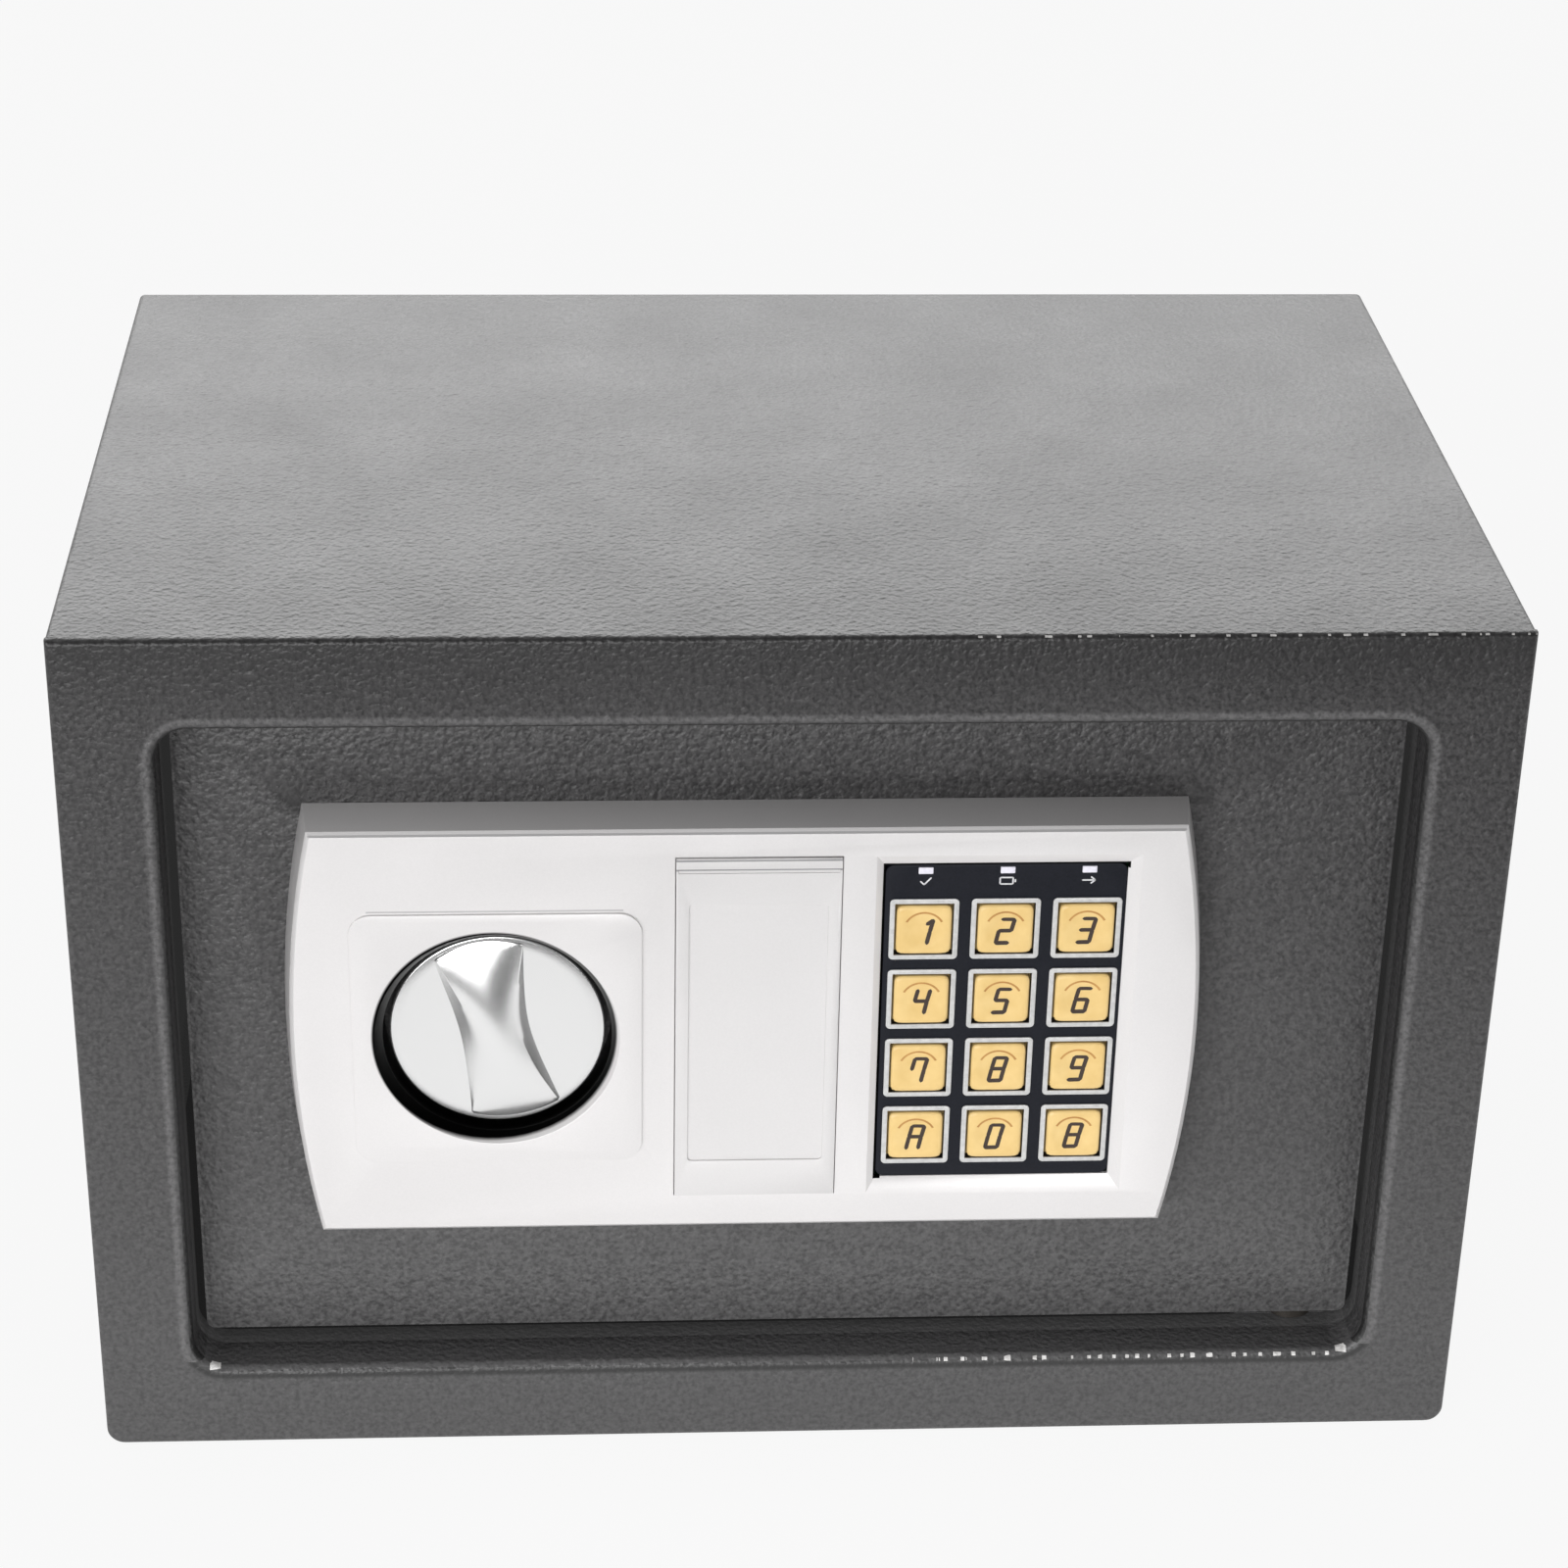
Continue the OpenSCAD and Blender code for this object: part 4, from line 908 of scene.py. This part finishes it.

# %% [markdown]
# The cap sits on a thin flange behind the panel. The upper part of the dimple's edge gets a
# darker amber as painted shade, so it has a material slot of its own.

# %% Make the key caps
def key_cap(node_name):
    low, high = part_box(node_name)
    centre = (low + high) / 2
    top = low.y
    shape = bmesh.new()
    turn = Matrix.Translation((centre.x, top, centre.z)) @ Matrix.Rotation(math.pi / 2, 4, "X")
    bmesh.ops.create_circle(shape, cap_ends=False, segments=round_sides, radius=dimple_radius,
                            matrix=turn)
    ring = list(shape.edges)
    for share in dimple_rings:
        verts, ring = extruded(shape, ring)
        radius = dimple_radius * share
        for vert in verts:
            out = Vector((vert.co.x - centre.x, 0, vert.co.z - centre.z)).normalized()
            vert.co = Vector((centre.x, top + dimple(radius), centre.z)) + out * radius
    bmesh.ops.holes_fill(shape, edges=ring, sides=round_sides)
    ring = [edge for edge in shape.edges if edge.is_boundary]
    square_rings = ((cap_half - 0.0006, 7, top), (cap_half - 0.0002, 9, top + 0.00015),
                    (cap_half, 10, top + 0.0005), (cap_half, 10, high.y - flange_t))
    for half, corner, y in square_rings:
        verts, ring = extruded(shape, ring)
        push_to_square(verts, centre, half, corner, y)
    bmesh.ops.holes_fill(shape, edges=ring, sides=round_sides)
    flange = bmesh.ops.create_cube(shape, size=1)["verts"]
    bmesh.ops.scale(shape, verts=flange, vec=(high.x - low.x, flange_t, high.z - low.z))
    bmesh.ops.translate(shape, verts=flange, vec=(centre.x, high.y - flange_t / 2, centre.z))
    bmesh.ops.recalc_face_normals(shape, faces=shape.faces)
    for face in shape.faces:
        face.smooth = len(face.verts) < round_sides and abs(face.normal.y) > 0.3
        spot = face.calc_center_median() - centre
        reach = math.hypot(spot.x, spot.z) / dimple_radius
        # The dimple's upper edge gets the painted shade material.
        if dimple_rings[0] - 0.01 < reach < 1 and spot.z > 0.45 * dimple_radius:
            face.material_index = 1
    cap = to_object(shape, node_name + "_cap", amber, node_name, node_name)
    cap.data.materials.append(amber_rim.material)


for node_name in key_labels:
    key_cap(node_name)

# %% [markdown]
# ## The numbers on the keys
# The legends are plain strokes like those of a pocket calculator. A stroke is a thin strip with
# pointed ends that lies on the dimple's curve, as ink does. When all strips of a sign are laid,
# a copy of them is set just behind and their hems are joined, so the ink is a closed film.

# %% Print a strip of ink
ink_lift = 0.00004
ink_thickness = 0.00003
blunt_end = 0.15


def strip(shape, start, end, half_wide, surface):
    (start_x, start_z), (end_x, end_z) = start, end
    length = math.hypot(end_x - start_x, end_z - start_z)
    along_x, along_z = (end_x - start_x) / length, (end_z - start_z) / length
    half_long = length / 2 + half_wide * 0.6
    for vert in bmesh.ops.create_grid(shape, x_segments=10, y_segments=2, size=1)["verts"]:
        reach = vert.co.x * half_long
        taper = min(1, (half_long - abs(reach)) / half_wide + blunt_end)
        side = vert.co.y * half_wide * taper
        x = (start_x + end_x) / 2 + along_x * reach - along_z * side
        z = (start_z + end_z) / 2 + along_z * reach + along_x * side
        vert.co = (x, surface(x, z), z)


def thicken(shape):
    made = bmesh.ops.extrude_face_region(shape, geom=shape.faces[:], use_keep_orig=True)["geom"]
    backs = [part for part in made if isinstance(part, bmesh.types.BMVert)]
    bmesh.ops.translate(shape, verts=backs, vec=(0, ink_thickness, 0))
    bmesh.ops.recalc_face_normals(shape, faces=shape.faces)
    return shape


print("ink lies", ink_lift, "m proud of the plastic")

# %% [markdown]
# Seven possible bars make every number and letter, and a short flag starts the 1. They lean a
# little to the right. So a legend is only a list of the bars that it uses.

# %% Draw each legend from its bars
bars = {"top": ((-1, 1), (1, 1)), "middle": ((-1, 0), (1, 0)), "bottom": ((-1, -1), (1, -1)),
        "high_left": ((-1, 1), (-1, 0)), "high_right": ((1, 1), (1, 0)),
        "low_left": ((-1, 0), (-1, -1)), "low_right": ((1, 0), (1, -1)),
        "flag": ((0.2, 0.6), (1, 1))}
legends = {
    "1": "flag high_right low_right",
    "2": "top high_right middle low_left bottom",
    "3": "top high_right middle low_right bottom",
    "4": "high_left middle high_right low_right",
    "5": "top high_left middle low_right bottom",
    "6": "top high_left middle low_left low_right bottom",
    "7": "high_left top high_right low_right",
    "8": "top middle bottom high_left high_right low_left low_right",
    "9": "top middle bottom high_left high_right low_right",
    "0": "top bottom high_left high_right low_left low_right",
    "A": "top middle high_left high_right low_left low_right",
    "B": "top middle bottom high_left high_right low_left low_right",
}
digit_half = 0.00135
digit_tall = 0.0029
digit_lean = 0.22
digit_drop = 0.0005
bar_half = 0.00046


def legend(node_name, label):
    low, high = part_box(node_name)
    centre = (low + high) / 2

    def on_cap(x, z):
        return low.y + dimple(math.hypot(x - centre.x, z - centre.z)) - ink_lift

    def spot(right, up):
        z = up * digit_tall
        return centre.x + right * digit_half + z * digit_lean, centre.z - digit_drop + z

    shape = bmesh.new()
    for bar in legends[label].split():
        start, end = bars[bar]
        strip(shape, spot(*start), spot(*end), bar_half, on_cap)
    to_object(thicken(shape), node_name + "_legend", ink, node_name)


for node_name, label in key_labels.items():
    legend(node_name, label)

# %% [markdown]
# ## Symbols under the three lights
# Each light has a small plain sign under it, printed pale on the black: a tick, a battery outline
# and an arrow. They are made of the same thin strips as the legends.

# %% Print the signs
sign_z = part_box("indicator_lights")[0].z - 0.0019
sign_unit = 0.001
sign_line_half = 0.00017
signs = {
    "key_1": [((-1.1, 0.0), (-0.3, -0.8)), ((-0.3, -0.8), (1.2, 0.9))],
    "key_2": [((-1.6, 0.8), (1.2, 0.8)), ((-1.6, -0.8), (1.2, -0.8)), ((-1.6, -0.8), (-1.6, 0.8)),
              ((1.2, -0.8), (1.2, 0.8)), ((1.7, -0.3), (1.7, 0.3))],
    "key_3": [((-1.5, 0.0), (1.2, 0.0)), ((0.4, 0.8), (1.3, 0.0)), ((0.4, -0.8), (1.3, 0.0))],
}


def on_pad(x, z):
    return pad_low.y - ink_lift


for number, (key_below, lines) in enumerate(signs.items(), start=1):
    key_low, key_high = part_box(key_below)
    sign_x = (key_low.x + key_high.x) / 2
    shape = bmesh.new()
    for line in lines:
        start, end = [(sign_x + right * sign_unit, sign_z + up * sign_unit) for right, up in line]
        strip(shape, start, end, sign_line_half, on_pad)
    to_object(thicken(shape), f"light_sign_{number}", symbol_print, "door")

# %% [markdown]
# ## The table
# A pale table top catches a soft shadow. It ends a little way in front of the safe, as a studio
# table does, so that the door mirrors a bright strip near it and the dim room beyond. Rays that
# look at it see it glow a little, and the light that falls on it can't make it brighter than
# white.

# %% Lay the table top
table_front = -0.37
table_back = 3.0
table_half = 3.0
table_glow = 0.9
table_paint = Finish("pale_table", (0.86, 0.86, 0.86), 0.9)
table_seen, table_glossy, table_through = table_paint.rays()
looked_at = (table_seen + table_glossy + table_through) * table_glow
white_ports = {"Color": (1, 1, 1, 1), "Strength": 1.0}
table_white = table_paint.node("ShaderNodeEmission", {}, white_ports)
table_lit = Wire(table_paint.tree, table_paint.shader.outputs[0])
mixed_ports = {0: looked_at, 1: table_lit, 2: table_white}
table_mix = table_paint.node("ShaderNodeMixShader", {}, mixed_ports)
table_paint.put(table_paint.tree.nodes["Material Output"].inputs["Surface"], table_mix)
table_paint.material.cycles.emission_sampling = "NONE"
table_shape = bmesh.new()
bmesh.ops.create_grid(table_shape, x_segments=1, y_segments=1, size=table_half)
for vert in table_shape.verts:
    vert.co.y = table_front if vert.co.y < 0 else table_back
table_mesh = bpy.data.meshes.new("table_top")
table_shape.to_mesh(table_mesh)
table_shape.free()
table_mesh.materials.append(table_paint.material)
table = bpy.data.objects.new("table_top", table_mesh)
bpy.context.scene.collection.objects.link(table)
print("table from", table_front, "to", table_back)
